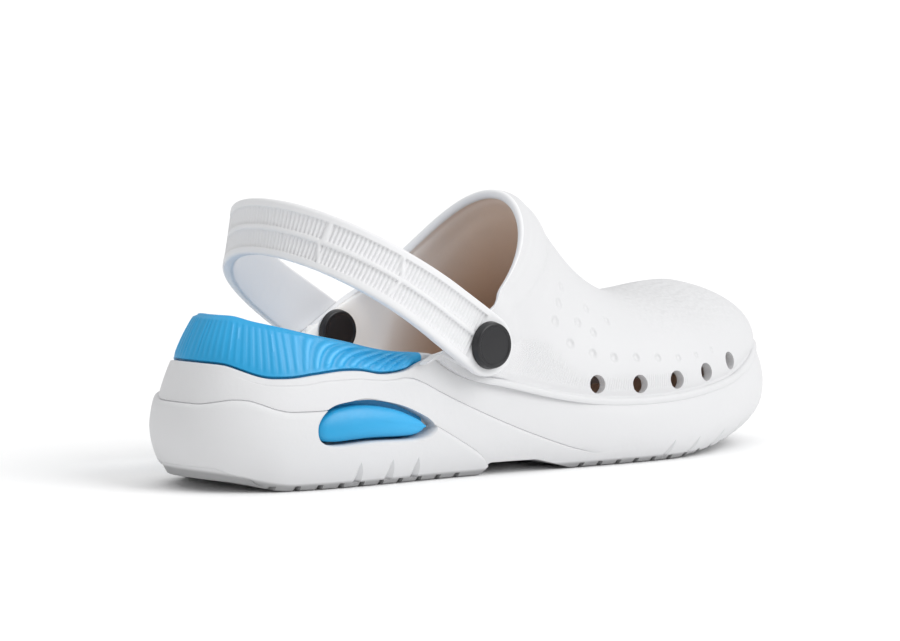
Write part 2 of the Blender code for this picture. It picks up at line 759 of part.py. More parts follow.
def vent_tool_mesh(bm):
    sides = outline_sides(400)
    for name in ('lateral', 'medial'):
        for along in VENTS:
            point, normal, share = min(sides[name], key=lambda s: abs(s[2] - along))
            height = rim_height(along) + VENT_RISE
            turn = Vector((normal[0], normal[1], 0.12)).to_track_quat('Z', 'Y').to_matrix().to_4x4()
            spot = Vector(place(point, normal, 4 * MM, height))
            bmesh.ops.create_cone(bm, cap_ends=True, segments=16, radius1=VENT_RADIUS,
                                  radius2=VENT_RADIUS, depth=18 * MM,
                                  matrix=Matrix.Translation(spot) @ turn)


def rivet_holes_mesh(bm):
    turn = Matrix.Rotation(math.pi / 2, 4, 'X')
    for side in (-1, 1):
        spot = Vector(((RIVET_AT - 0.5) * LENGTH, side * EAR_HALF_WIDTH, RIVET_HEIGHT))
        bmesh.ops.create_cone(bm, cap_ends=True, segments=20, radius1=POST_RADIUS + GAP,
                              radius2=POST_RADIUS + GAP, depth=30 * MM,
                              matrix=Matrix.Translation(spot) @ turn)


def make_upper(material):
    upper = new_object('upper', upper_mesh, material)
    cut(upper, new_object('upper_vents', vent_tool_mesh, None))
    cut(upper, new_object('upper_rivet_holes', rivet_holes_mesh, None))
    return upper


# Strap
def strap_half_width():
    return EAR_HALF_WIDTH + GAP + STRAP_THICK / 2


def strap_path(steps):
    """Centre points of the loop, from beyond the lateral rivet round the back to the medial one."""
    half = strap_half_width()
    end = STRAP_WIDTH / 2
    slope = STRAP_SLOPE
    straight = (STRAP_REACH - STRAP_TURN) / math.cos(slope)
    turn = STRAP_TURN / math.cos(slope)
    plan = [(-end, -half), (straight, -half)]
    for i in range(1, 48):
        angle = -math.pi / 2 + math.pi * i / 48
        swing = half * math.sin(angle) + STRAP_BOW * math.sin(2 * angle)
        plan.append((straight + turn * math.cos(angle), swing))
    plan += [(straight, half), (-end, half)]
    return resample(np.array(plan), steps)


def strap_frame(back, side):
    """Centre point and width direction at a place of the loop."""
    slope = STRAP_SLOPE
    x = (RIVET_AT - 0.5) * LENGTH - back * math.cos(slope)
    z = RIVET_HEIGHT + back * math.sin(slope)
    full = STRAP_REACH / math.cos(slope)
    rear = smooth(0.45, 1.0, back / full)
    lean = math.tan(slope) * (1 - rear) + STRAP_REAR_LEAN * rear
    width = Vector((lean, 0, 1)).normalized()
    return Vector((x, side, z)), width


def strap_mesh(bm):
    steps = STRAP_STEPS
    path = strap_path(240)
    end = STRAP_WIDTH / 2
    length = sum(np.linalg.norm(b - a) for a, b in zip(path, path[1:]))
    tips = [end * (1 - math.cos(a)) for a in (0.35, 0.7, 1.05, math.pi / 2)]
    marks = tips + list(np.linspace(end + 5 * MM, length - end - 5 * MM, steps))
    marks += [length - t for t in tips[::-1]]
    travel = np.concatenate([[0], np.cumsum(np.linalg.norm(np.diff(path, axis=0), axis=1))])
    loops = []
    for mark in marks:
        back, side = (float(np.interp(mark, travel, path[:, i])) for i in (0, 1))
        ahead = [float(np.interp(mark + 1 * MM, travel, path[:, i])) for i in (0, 1)]
        behind = [float(np.interp(mark - 1 * MM, travel, path[:, i])) for i in (0, 1)]
        spot, width = strap_frame(back, side)
        run = strap_frame(*ahead)[0] - strap_frame(*behind)[0]
        outward = run.cross(width).normalized()
        if outward.dot(Vector((spot.x - LENGTH / 4, spot.y, 0))) < 0:
            outward = -outward
        width = outward.cross(run).normalized()
        if width.z < 0:
            width = -width
        tip = min(mark, length - mark)
        half = end if tip >= end else math.sqrt(max(end ** 2 - (end - tip) ** 2, 0))
        half += (STRAP_REAR_WIDTH - STRAP_WIDTH) / 2 * smooth(end, length * 0.35, tip)
        thick = STRAP_THICK / 2
        corner = min(0.9 * MM, half * 0.3)
        section = [(-half, -thick * 0.5), (-half, thick * 0.5), (-half + corner, thick), (half - corner, thick),
                   (half, thick * 0.5), (half, -thick * 0.5), (half - corner, -thick), (-half + corner, -thick)]
        loops.append([bm.verts.new(spot + width * w + outward * t) for w, t in section])
    for first, second in zip(loops, loops[1:]):
        bridge(bm, first, second, True)
    face(bm, loops[0])
    face(bm, loops[-1])


def make_strap(material):
    strap = new_object('strap', strap_mesh, material)
    cut(strap, new_object('strap_rivet_holes', rivet_holes_mesh, None))
    return strap


# Rivets
def lathe(bm, profile, segments=16):
    """A closed profile of (radius, height) turned about +Z."""
    rings = []
    for radius, height in profile:
        if radius == 0:
            rings.append([bm.verts.new((0, 0, height))] * segments)
            continue
        rings.append([bm.verts.new((radius * math.cos(2 * math.pi * i / segments),
                                    radius * math.sin(2 * math.pi * i / segments), height))
                      for i in range(segments)])
    for first, second in zip(rings, rings[1:]):
        bridge(bm, first, second, True)


def button_mesh(bm):
    """Domed head with a lip, and the post that goes through strap and ear. Z = 0 under the head."""
    post = STRAP_THICK + UPPER_WALL + 3 * GAP + CAP_THICK * 0.5
    lathe(bm, ((0, -post), (POST_RADIUS - 0.4 * MM, -post), (POST_RADIUS, -post + 0.4 * MM),
               (POST_RADIUS, 0), (HEAD_RADIUS - 0.5 * MM, 0), (HEAD_RADIUS, 0.6 * MM),
               (HEAD_RADIUS, HEAD_THICK * 0.6), (HEAD_RADIUS - 0.6 * MM, HEAD_THICK * 0.85),
               (HEAD_RADIUS - 1.4 * MM, HEAD_THICK * 0.78), (HEAD_RADIUS * 0.45, HEAD_THICK * 0.95),
               (0, HEAD_THICK)))


def cap_mesh(bm):
    """Back cap with a blind socket for the post. Z = 0 on the wall's side, +Z towards the foot."""
    bore = POST_RADIUS + GAP
    lathe(bm, ((0, CAP_THICK * 0.75), (bore, CAP_THICK * 0.75), (bore, 0),
               (CAP_RADIUS - 0.5 * MM, 0), (CAP_RADIUS, 0.5 * MM), (CAP_RADIUS, CAP_THICK * 0.55),
               (CAP_RADIUS - 0.9 * MM, CAP_THICK * 0.9), (SOCKET_RADIUS, CAP_THICK),
               (0, CAP_THICK * 1.1)))


def make_rivets(material):
    x = (RIVET_AT - 0.5) * LENGTH
    head = EAR_HALF_WIDTH + GAP + STRAP_THICK + GAP
    cap = EAR_HALF_WIDTH - UPPER_WALL - 1.5 * GAP
    for side, name in ((-1, 'lateral'), (1, 'medial')):
        button = new_object('rivet_button_' + name, button_mesh, material)
        button.location = (x, side * head, RIVET_HEIGHT)
        button.rotation_euler = (-side * math.pi / 2, 0, 0)
        back = new_object('rivet_cap_' + name, cap_mesh, material)
        back.location = (x, side * cap, RIVET_HEIGHT)
        back.rotation_euler = (side * math.pi / 2, 0, 0)


def main():
    for item in list(bpy.data.objects):
        bpy.data.objects.remove(item, do_unlink=True)
    sole_foam = new_material('sole_foam', (0.86, 0.87, 0.88), 0.6)
    upper_foam = new_material('upper_foam', (0.88, 0.89, 0.90), 0.6)
    strap_foam = new_material('strap_foam', (0.87, 0.88, 0.89), 0.6)
    insert_foam = new_material('insert_foam', (0.06, 0.33, 0.74), 0.4)
    rivet_plastic = new_material('rivet_plastic', (0.015, 0.015, 0.017), 0.35)
    make_sole(sole_foam)
    make_insole(insert_foam)
    make_upper(upper_foam)
    make_strap(strap_foam)
    make_rivets(rivet_plastic)


main()
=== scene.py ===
"""Looks of a right-foot foam clog with a back strap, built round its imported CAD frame.

Metres, +Z up, toe to +X, outer (lateral) side to -Y, as in the frame.
"""
import math

import bmesh
import bpy
import numpy as np
from mathutils import Matrix, Vector


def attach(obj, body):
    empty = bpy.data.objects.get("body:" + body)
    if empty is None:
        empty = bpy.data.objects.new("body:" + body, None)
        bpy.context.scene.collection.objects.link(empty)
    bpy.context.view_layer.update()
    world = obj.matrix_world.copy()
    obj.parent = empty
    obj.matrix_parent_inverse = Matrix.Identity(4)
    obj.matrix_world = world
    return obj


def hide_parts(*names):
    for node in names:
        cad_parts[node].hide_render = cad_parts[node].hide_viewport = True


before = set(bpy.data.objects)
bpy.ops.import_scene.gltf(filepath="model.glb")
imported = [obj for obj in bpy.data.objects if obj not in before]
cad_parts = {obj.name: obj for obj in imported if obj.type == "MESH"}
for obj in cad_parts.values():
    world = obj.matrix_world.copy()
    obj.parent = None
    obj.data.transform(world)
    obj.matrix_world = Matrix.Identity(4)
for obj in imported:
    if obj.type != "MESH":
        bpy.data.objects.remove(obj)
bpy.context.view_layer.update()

bl_info = {
    "name": "Foam clog",
    "version": (1, 0, 0),
    "blender": (4, 5, 0),
    "location": "3D View > Sidebar > Clog",
    "description": "Builds the visible pieces and finishes of a foam clog",
    "category": "Object",
}

MM = 0.001

# Sizes in metres. The CAD solids have most of them too, and some a little different.
LENGTH = 270 * MM
BALL_WIDTH = 102 * MM
SEAT_HEIGHT = 43.7 * MM
CUSHION_HEIGHT = 57.6 * MM
INSTEP_HEIGHT = 95.8 * MM
GAP = 0.3 * MM
UPPER_WALL = 3.5 * MM
BEAD_HEIGHT = 2.6 * MM
BEAD_OUT = 1.0 * MM
BEAD_LEDGE = 0.5 * MM
TIER_STEP = 1.5 * MM
SWOOSH_STEP = 1.1 * MM
CUSHION_WALL = 5.5 * MM
CUSHION_LEAN = 0.5
TREAD_DEPTH = 1.7 * MM
TREAD_PITCH = 8 * MM
TREAD_GAP = 2.8 * MM
PIVOT_RADIUS = 15 * MM
HEEL_PAD_RADIUS = 11 * MM
ARCH_RISE = 4.3 * MM
ARCH_BACK, ARCH_FRONT = 0.385, 0.560
ARCH_BACK_RAMP, ARCH_FRONT_RAMP = 4 * MM, 24 * MM
VENT_RADIUS = 3.3 * MM
VENT_RISE = 6.2 * MM
RIVET_X = (100.8 / 270 - 0.5) * LENGTH
RIVET_HEIGHT = SEAT_HEIGHT + 1.9 * MM
EAR_HALF_WIDTH = 0.407 * BALL_WIDTH
HEAD_RADIUS = 8.2 * MM
HEAD_THICK = 2.6 * MM
CAP_RADIUS = 8 * MM
CAP_THICK = 2.2 * MM
POST_RADIUS = 3 * MM
STRAP_WIDTH = 21.5 * MM
STRAP_REAR_WIDTH = 19 * MM
STRAP_THICK = 4 * MM
STRAP_SLOPE = math.radians(33)
STRAP_REACH = 62.5 * MM
STRAP_TURN = 46 * MM
STRAP_BOW = 1.5 * MM
STRAP_REAR_LEAN = 0.12

# The collar, thinner and rounder at its edge, and how often the rim line is smoothed
COLLAR_BOW = 10 * MM
COLLAR_THIN = 0.9 * MM
COLLAR_BAND = 0.35 * MM
FAIRING_PASSES = 40


class Table:
    """Rows with named columns, read between rows by a cubic that never overshoots."""

    def __init__(self, columns, rows):
        self.columns = columns
        self.rows = np.array(rows, float)

    def at(self, name, along):
        xs = self.rows[:, 0]
        ys = self.rows[:, self.columns.index(name)]
        tangents = self.tangents(xs, ys)
        along = np.clip(np.asarray(along, float), xs[0], xs[-1])
        i = np.clip(np.searchsorted(xs, along, side="right") - 1, 0, len(xs) - 2)
        h = xs[i + 1] - xs[i]
        t = (along - xs[i]) / h
        return (ys[i] * (1 + 2 * t) * (1 - t) ** 2 + ys[i + 1] * t * t * (3 - 2 * t)
                + h * t * (1 - t) * (tangents[i] * (1 - t) - tangents[i + 1] * t))

    @staticmethod
    def tangents(xs, ys):
        slopes = np.diff(ys) / np.diff(xs)
        tangents = np.concatenate([[slopes[0]], (slopes[1:] + slopes[:-1]) / 2, [slopes[-1]]])
        for i, slope in enumerate(slopes):
            if slope == 0:
                tangents[i] = tangents[i + 1] = 0
                continue
            a, b = tangents[i] / slope, tangents[i + 1] / slope
            size = math.hypot(max(a, 0), max(b, 0))
            scale = 3 / size if size > 3 else 1
            tangents[i] = max(a, 0) * scale * slope
            tangents[i + 1] = max(b, 0) * scale * slope
        return tangents


# Seen from above: shares of the length, and of the ball width
OUTLINE = Table(("along", "lateral", "medial"), (
    (0.000, 0.000, 0.000), (0.018, 0.176, 0.176), (0.074, 0.308, 0.308), (0.148, 0.363, 0.358),
    (0.222, 0.382, 0.378), (0.333, 0.394, 0.393), (0.444, 0.423, 0.412), (0.556, 0.466, 0.451),
    (0.648, 0.493, 0.490), (0.722, 0.495, 0.510), (0.796, 0.463, 0.508), (0.870, 0.387, 0.471),
    (0.926, 0.301, 0.402), (0.970, 0.170, 0.292)))
TOE_TIP = 0.078

# Top edge of the sole, the tier over the heel block, and the line that sweeps to the ground
RIM = Table(("along", "height"), (
    (0.000, 0.966), (0.022, 0.950), (0.041, 0.908), (0.059, 0.870), (0.078, 0.850), (0.100, 0.848),
    (0.137, 0.868), (0.181, 0.888), (0.204, 0.881), (0.237, 0.848), (0.270, 0.868), (0.293, 0.922),
    (0.309, 0.950), (0.328, 0.880), (0.352, 0.800), (0.378, 0.745), (0.411, 0.700), (0.496, 0.574),
    (0.559, 0.510), (0.640, 0.485), (0.707, 0.500), (0.770, 0.542), (0.826, 0.598), (0.874, 0.680),
    (0.915, 0.765), (0.956, 0.825), (1.000, 0.850)))
TIER = Table(("along", "height"), (
    (0.000, 0.668), (0.007, 0.666), (0.013, 0.675), (0.022, 0.690), (0.034, 0.702), (0.048, 0.696),
    (0.062, 0.668), (0.078, 0.630), (0.100, 0.604), (0.137, 0.602), (0.200, 0.672), (0.256, 0.593),
    (0.304, 0.442), (0.352, 0.277), (0.380, 0.168), (0.400, 0.050), (0.420, 0.000)))
SWOOSH = Table(("along", "height"), (
    (0.000, 0.918), (0.022, 0.905), (0.044, 0.856), (0.059, 0.826), (0.085, 0.802), (0.115, 0.798),
    (0.156, 0.822), (0.193, 0.824), (0.230, 0.806), (0.259, 0.812), (0.281, 0.796), (0.319, 0.684),
    (0.363, 0.556), (0.407, 0.435), (0.451, 0.323), (0.517, 0.178), (0.561, 0.105), (0.620, 0.000)))

# Side of the sole: insets are shares of the ball width, heights of the seat height
SIDE = Table(("along", "ground", "ground_inset", "widest", "round", "top_inset", "inner_inset"), (
    (0.000, 0.094, 0.048, 0.458, 1.9, 0.058, 0.098),
    (0.030, 0.072, 0.053, 0.458, 2.0, 0.055, 0.095),
    (0.060, 0.035, 0.062, 0.458, 2.2, 0.048, 0.088),
    (0.095, 0.000, 0.060, 0.440, 2.4, 0.042, 0.082),
    (0.200, 0.000, 0.058, 0.420, 2.6, 0.036, 0.076),
    (0.300, 0.000, 0.058, 0.400, 2.6, 0.012, 0.066),
    (0.400, 0.000, 0.060, 0.380, 2.6, 0.008, 0.054),
    (0.550, 0.000, 0.060, 0.360, 2.6, 0.008, 0.054),
    (0.700, 0.000, 0.062, 0.360, 2.8, 0.008, 0.054),
    (0.780, 0.040, 0.070, 0.400, 3.0, 0.008, 0.054),
    (0.870, 0.085, 0.092, 0.480, 3.0, 0.012, 0.054),
    (0.930, 0.115, 0.112, 0.540, 3.0, 0.026, 0.056),
    (1.000, 0.140, 0.140, 0.560, 3.0, 0.034, 0.064)))

# Inside, as shares of the seat height
BED = Table(("along", "floor", "edge", "middle", "rim"), (
    (0.000, 0.343, 0.720, 0.640, 1.318), (0.020, 0.343, 0.720, 0.633, 1.313),
    (0.052, 0.343, 0.720, 0.620, 1.274),
    (0.107, 0.343, 0.700, 0.600, 1.219), (0.145, 0.343, 0.695, 0.595, 1.167),
    (0.189, 0.343, 0.690, 0.590, 1.112),
    (0.252, 0.340, 0.680, 0.590, 1.022), (0.300, 0.335, 0.660, 0.585, 0.992),
    (0.420, 0.310, 0.580, 0.540, 0.900), (0.550, 0.260, 0.440, 0.410, 0.900),
    (0.700, 0.230, 0.370, 0.350, 0.900), (0.850, 0.270, 0.400, 0.385, 0.900),
    (1.000, 0.370, 0.500, 0.490, 0.900)))

# Upper: each section runs from its foot round the toe up to its ridge end on the instep
UPPER = Table(("foot", "ridge", "ridge_side", "ridge_height", "lean", "inset", "fullness"), (
    (0.285, 0.524, 0.000, 1.003, 1.00, 0.002, 2.00),
    (0.305, 0.538, 0.000, 0.996, 1.00, 0.003, 2.00),
    (0.335, 0.555, 0.000, 0.966, 1.00, 0.004, 2.00),
    (0.390, 0.575, 0.005, 0.908, 0.95, 0.022, 2.00),
    (0.445, 0.600, 0.010, 0.833, 0.88, 0.030, 2.00),
    (0.500, 0.630, 0.020, 0.747, 0.78, 0.034, 2.05),
    (0.556, 0.660, 0.030, 0.680, 0.66, 0.034, 2.10),
    (0.611, 0.690, 0.040, 0.636, 0.52, 0.034, 2.15),
    (0.667, 0.722, 0.045, 0.611, 0.38, 0.034, 2.18),
    (0.722, 0.755, 0.050, 0.604, 0.25, 0.034, 2.15),
    (0.778, 0.785, 0.050, 0.613, 0.12, 0.034, 2.12),
    (0.833, 0.811, 0.050, 0.626, 0.05, 0.035, 2.08),
    (0.889, 0.830, 0.050, 0.633, 0.00, 0.036, 2.02),
    (0.944, 0.844, 0.050, 0.636, 0.00, 0.037, 1.96),
    (1.000, 0.855, 0.050, 0.636, 0.00, 0.038, 1.92)))

# Fine upright ribs over the bead: from the middle of the length
RIB_START, RIB_END = -34 * MM, 65 * MM
RIB_PITCH = 1.1 * MM
RIB_COLUMNS = 190
RIB_DEPTH = 0.3
RIB_TOP_BACK, RIB_TOP_DROP = 46.5 * MM, 14.5 * MM

# Dimples: shares of the radius where the floor ends and the edge lies, and depth per radius
DIMPLE_FLAT, DIMPLE_EDGE, DIMPLE_DEPTH = 0.15, 0.74, 0.2

# Blind round dimples on the vamp: millimetres from the heel, over the floor, and across
DIMPLES = ((139, 51.4, 2.8), (144, 43.5, 2.9), (153, 39.6, 2.8), (162, 37.8, 2.7), (172, 37.3, 2.5),
           (182, 36.7, 2.3), (192, 36.2, 2.1), (202, 36.6, 1.8), (212, 37.9, 1.6),
           (143, 57.5, 2.4), (150, 50.5, 2.5), (156, 46.8, 2.4), (147, 63.0, 2.0), (157, 55.0, 2.1),
           (165, 50.5, 2.0))

# Side window in the heel block: shares of the length and of the seat height
WINDOW = ((0.1430, 0.350), (0.2120, 0.350), (0.2862, 0.350), (0.3005, 0.385), (0.3072, 0.430),
          (0.3000, 0.482), (0.2815, 0.545), (0.2595, 0.603), (0.2340, 0.644), (0.2050, 0.668),
          (0.1790, 0.661), (0.1572, 0.636), (0.1408, 0.574), (0.1318, 0.490), (0.1328, 0.400))
VENTS = (0.565, 0.635, 0.702, 0.765, 0.830)
FLUTES = (0.193, 0.241, 0.281, 0.681, 0.730, 0.789, 0.844)


# Curves and outline
def smooth(low, high, value):
    """0 below low, 1 above high, and an even curve between them."""
    t = np.clip((np.asarray(value, float) - low) / (high - low), 0, 1)
    return t * t * (3 - 2 * t)


def closed_curve(knots, per_span):
    """A closed centripetal curve through the knots."""
    knots = np.array(knots, float)
    count = len(knots)
    dense = []
    for i in range(count):
        p0, p1, p2, p3 = (knots[(i + j - 1) % count] for j in range(4))
        spans = [np.linalg.norm(b - a) ** 0.5 for a, b in ((p0, p1), (p1, p2), (p2, p3))]
        m1 = ((p1 - p0) / spans[0] - (p2 - p0) / (spans[0] + spans[1]) + (p2 - p1) / spans[1]) * spans[1]
        m2 = ((p2 - p1) / spans[1] - (p3 - p1) / (spans[1] + spans[2]) + (p3 - p2) / spans[2]) * spans[1]
        for t in np.linspace(0, 1, per_span, endpoint=False):
            dense.append(p1 * (1 + 2 * t) * (1 - t) ** 2 + p2 * t * t * (3 - 2 * t)
                         + m1 * t * (1 - t) ** 2 - m2 * t * t * (1 - t))
    return np.array(dense)


def arc_lengths(path):
    return np.concatenate([[0], np.cumsum(np.linalg.norm(np.diff(path, axis=0), axis=1))])


def resample(path, steps):
    """The path's points again, at even distances."""
    lengths = arc_lengths(path)
    marks = np.linspace(0, lengths[-1], steps + 1)
    return np.column_stack([np.interp(marks, lengths, path[:, i]) for i in range(path.shape[1])])


class Walk:
    """One side of the outline from heel tip to toe tip, read by the distance walked."""

    def __init__(self, path, outward):
        self.points = resample(path, 1600)
        self.lengths = arc_lengths(self.points)
        self.total = self.lengths[-1]
        reach = 12
        index = np.arange(1601)
        ahead = self.points[np.minimum(index + reach, 1600)] - self.points[np.maximum(index - reach, 0)]
        ahead /= np.linalg.norm(ahead, axis=1)[:, None]
        self.normals = np.column_stack([-ahead[:, 1], ahead[:, 0]]) * outward
        fade = smooth(0, 3 * reach, index)[:, None] * smooth(0, 3 * reach, 1600 - index)[:, None]
        tips = np.where(index[:, None] < 800, (-1.0, 0.0), (1.0, 0.0))
        self.normals = self.normals * fade + tips * (1 - fade)
        self.normals /= np.linalg.norm(self.normals, axis=1)[:, None]

    def at(self, marks):
        """Points, outward directions and length shares at the marks."""
        points = np.column_stack([np.interp(marks, self.lengths, self.points[:, i]) for i in (0, 1)])
        normals = np.column_stack([np.interp(marks, self.lengths, self.normals[:, i]) for i in (0, 1)])
        return points, normals, points[:, 0] / LENGTH

    def mark(self, along):
        """Distance walked at a share of the length."""
        return float(np.interp(along * LENGTH, self.points[:, 0], self.lengths))


def outline_walks():
    lateral = [(a, -w) for a, w, _ in OUTLINE.rows[1:]]
    medial = [(a, w) for a, _, w in OUTLINE.rows[1:]]
    knots = [(0.0, 0.0)] + lateral + [(1.0, TOE_TIP)] + medial[::-1]
    dense = closed_curve([(a * LENGTH, w * BALL_WIDTH) for a, w in knots], 16)
    loop = resample(np.vstack([dense, dense[:1]]), 480)[:-1]
    for _ in range(FAIRING_PASSES):
        loop = loop / 2 + np.roll(loop, 1, 0) / 4 + np.roll(loop, -1, 0) / 4
    low, high = loop[:, 0].min(), loop[:, 0].max()
    loop[:, 0] = (loop[:, 0] - low) / (high - low) * LENGTH
    heel, toe = int(loop[:, 0].argmin()), int(loop[:, 0].argmax())
    ring = np.roll(loop, -heel, 0)
    split = (toe - heel) % len(ring)
    return Walk(ring[:split + 1], -1), Walk(np.vstack([ring[split:], ring[:1]])[::-1], 1)


LATERAL, MEDIAL = outline_walks()


def ring_stations(steps):
    """Stations once round the shoe: lateral side to the toe, and back on the medial side."""
    a = LATERAL.at(np.linspace(0, LATERAL.total, steps + 1))
    b = MEDIAL.at(np.linspace(0, MEDIAL.total, steps + 1))
    return [np.concatenate([first, second[-2:0:-1]]) for first, second in zip(a, b)]


def place(points, normals, inset, height):
    """Points in space, inset from the outline, with the middle of the length over the origin."""
    return np.stack([points[:, 0] - normals[:, 0] * inset - LENGTH / 2,
                     points[:, 1] - normals[:, 1] * inset, height + 0 * points[:, 0]], axis=1)


def rim_height(along):
    return RIM.at("height", along) * SEAT_HEIGHT


def side_inset(along, height):
    """Inset of the sole's outer face at a height, before its steps."""
    ground = SIDE.at("ground", along) * SEAT_HEIGHT
    widest = SIDE.at("widest", along) * SEAT_HEIGHT
    top = rim_height(along)
    under = np.clip((widest - height) / (widest - ground), 0, 1)
    over = np.clip((height - widest) / np.maximum(top - widest, MM), 0, 1)
    low = SIDE.at("ground_inset", along) * BALL_WIDTH * under ** SIDE.at("round", along)
    return np.where(height < widest, low, SIDE.at("top_inset", along) * BALL_WIDTH * over ** 1.6)


def step_insets(along):
    """Extra inset above the tier line, and above the sweeping line."""
    band = TIER_STEP * (1 - smooth(0.33, 0.52, along))
    line = 0.35 * smooth(0.03, 0.08, along) + 0.65 * smooth(0.24, 0.30, along)
    return band, band + SWOOSH_STEP * line * (1 - smooth(0.50, 0.58, along))


# Meshes
def deselect_all():
    if bpy.context.object and bpy.context.object.mode != "OBJECT":
        bpy.ops.object.mode_set(mode="OBJECT")
    bpy.ops.object.select_all(action="DESELECT")


def activate(item):
    deselect_all()
    item.select_set(True)
    bpy.context.view_layer.objects.active = item


def mesh_object(name, points, faces, material=None):
    mesh = bpy.data.meshes.new(name)
    mesh.from_pydata([tuple(p) for p in points], [], faces)
    mesh.validate()
    item = bpy.data.objects.new(name, mesh)
    bpy.context.scene.collection.objects.link(item)
    if material:
        mesh.materials.append(material)
    return item


def grid_faces(rows, columns, wrap_columns=False, offset=0, flip=False):
    """Quads of a grid of points that are stored row by row."""
    faces = []
    for j in range(rows - 1):
        for i in range(columns if wrap_columns else columns - 1):
            a, b = j * columns + i, j * columns + (i + 1) % columns
            up = (j + 1) * columns
            quad = (offset + a, offset + b, offset + up + (i + 1) % columns, offset + up + i)
            faces.append(quad[::-1] if flip else quad)
    return faces


def across_faces(first, steps):
    """Quads across a closed ring, from each station's one side to its other side."""
    count = 2 * steps
    faces = []
    for i in range(steps):
        corners = [i, i + 1, (count - i - 1) % count, (count - i) % count]
        distinct = sorted(set(corners), key=corners.index)
        if len(distinct) > 2:
            faces.append(tuple(first + c for c in distinct))
    return faces


def outward_normals(item):
    activate(item)
    bpy.ops.object.mode_set(mode="EDIT")
    bpy.ops.mesh.select_all(action="SELECT")
    bpy.ops.mesh.remove_doubles(threshold=1e-6)
    bpy.ops.mesh.normals_make_consistent(inside=False)
    bpy.ops.object.mode_set(mode="OBJECT")


def shade(item, degrees=35):
    activate(item)
    bpy.ops.object.shade_smooth_by_angle(angle=math.radians(degrees))
    deselect_all()


def cut(target, tool):
    """Cuts the tool out of the target with an exact boolean, and removes the tool."""
    outward_normals(tool)
    modifier = target.modifiers.new(tool.name, "BOOLEAN")
    modifier.operation = "DIFFERENCE"
    modifier.solver = "EXACT"
    modifier.object = tool
    activate(target)
    bpy.ops.object.modifier_apply(modifier=modifier.name)
    bpy.data.objects.remove(tool, do_unlink=True)


def stamped(name, template, places):
    """One mesh with a copy of the template at each place. The template is removed."""
    verts = np.array([v.co[:] for v in template.data.vertices])
    faces = [tuple(p.vertices) for p in template.data.polygons]
    points, polygons = [], []
    for place_matrix in places:
        matrix = np.array(place_matrix)
        offset = len(points)
        points += list(verts @ matrix[:3, :3].T + matrix[:3, 3])
        polygons += [tuple(offset + i for i in f) for f in faces]
    bpy.data.objects.remove(template, do_unlink=True)
    return mesh_object(name, points, polygons)


def pick(item, test):
    """In edit mode, selects the faces whose middle and normal pass the test."""
    mesh = bmesh.from_edit_mesh(item.data)
    bpy.context.tool_settings.mesh_select_mode = (False, False, True)
    for face in mesh.faces:
        face.select_set(bool(test(face.calc_center_median(), face.normal)))
    mesh.select_flush_mode()
    bmesh.update_edit_mesh(item.data)


def finish_piece(item, slot, *nodes, body="root"):
    """The piece's place goes into its mesh, and it joins the frame."""
    activate(item)
    bpy.ops.object.transform_apply(location=True, rotation=True, scale=True)
    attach(item, body)
    if nodes:
        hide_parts(*nodes)
    deselect_all()
    return item


# Shader maths
class Wire:
    """A socket that takes part in sums like a number."""

    def __init__(self, graph, socket):
        self.graph = graph
        self.socket = socket

    def maths(self, operation, *values):
        return self.graph.node("ShaderNodeMath", {"operation": operation}, *values)

    def __add__(self, other):
        return self.maths("ADD", self, other)

    def __radd__(self, other):
        return self.maths("ADD", other, self)

    def __sub__(self, other):
        return self.maths("SUBTRACT", self, other)

    def __rsub__(self, other):
        return self.maths("SUBTRACT", other, self)

    def __mul__(self, other):
        return self.maths("MULTIPLY", self, other)

    def __rmul__(self, other):
        return self.maths("MULTIPLY", other, self)


class Graph:
    """The node tree of one finish."""

    def __init__(self, name):
        self.material = bpy.data.materials.new(name)
        self.material.use_nodes = True
        self.tree = self.material.node_tree
        self.shader = self.tree.nodes["Principled BSDF"]

    def node(self, kind, settings=None, *values, out=0, **named):
        """A node: its settings first, then the values or links of its sockets."""
        made = self.tree.nodes.new(kind)
        for key, value in (settings or {}).items():
            setattr(made, key, value)
        for key, value in [*enumerate(values), *named.items()]:
            socket = made.inputs[key.replace("_", " ") if isinstance(key, str) else key]
            self.feed(socket, value)
        return Wire(self, made.outputs[out])

    def feed(self, socket, value):
        if isinstance(value, Wire):
            self.tree.links.new(value.socket, socket)
        else:
            socket.default_value = value

    def set(self, **sockets):
        for key, value in sockets.items():
            self.feed(self.shader.inputs[key.replace("_", " ")], value)

    def position(self):
        """The piece's own coordinates, in metres."""
        return self.node("ShaderNodeTexCoord", out="Object")

    def axis(self, position, name):
        return self.node("ShaderNodeSeparateXYZ", None, position, out=name)

    def ramp(self, value, low, high, start=0.0, end=1.0):
        """start below low, end above high, and an even curve between them."""
        return self.node("ShaderNodeMapRange", {"interpolation_type": "SMOOTHSTEP"},
                         value, low, high, start, end)

    def noise(self, position, scale, detail=2.0, roughness=0.5):
        return self.node("ShaderNodeTexNoise", None, Vector=position, Scale=scale,
                         Detail=detail, Roughness=roughness)

    def mix(self, factor, first, second):
        made = self.tree.nodes.new("ShaderNodeMix")
        made.data_type = "RGBA"
        for index, value in ((0, factor), (6, first), (7, second)):
            self.feed(made.inputs[index], value)
        return Wire(self, made.outputs[2])

    def bump(self, height, distance, strength=1.0, normal=None):
        named = {"Strength": strength, "Distance": distance, "Height": height}
        if normal:
            named["Normal"] = normal
        return self.node("ShaderNodeBump", None, **named)


def tint(colour, factor):
    return tuple(min(c * factor, 1) for c in colour[:3]) + (1,)


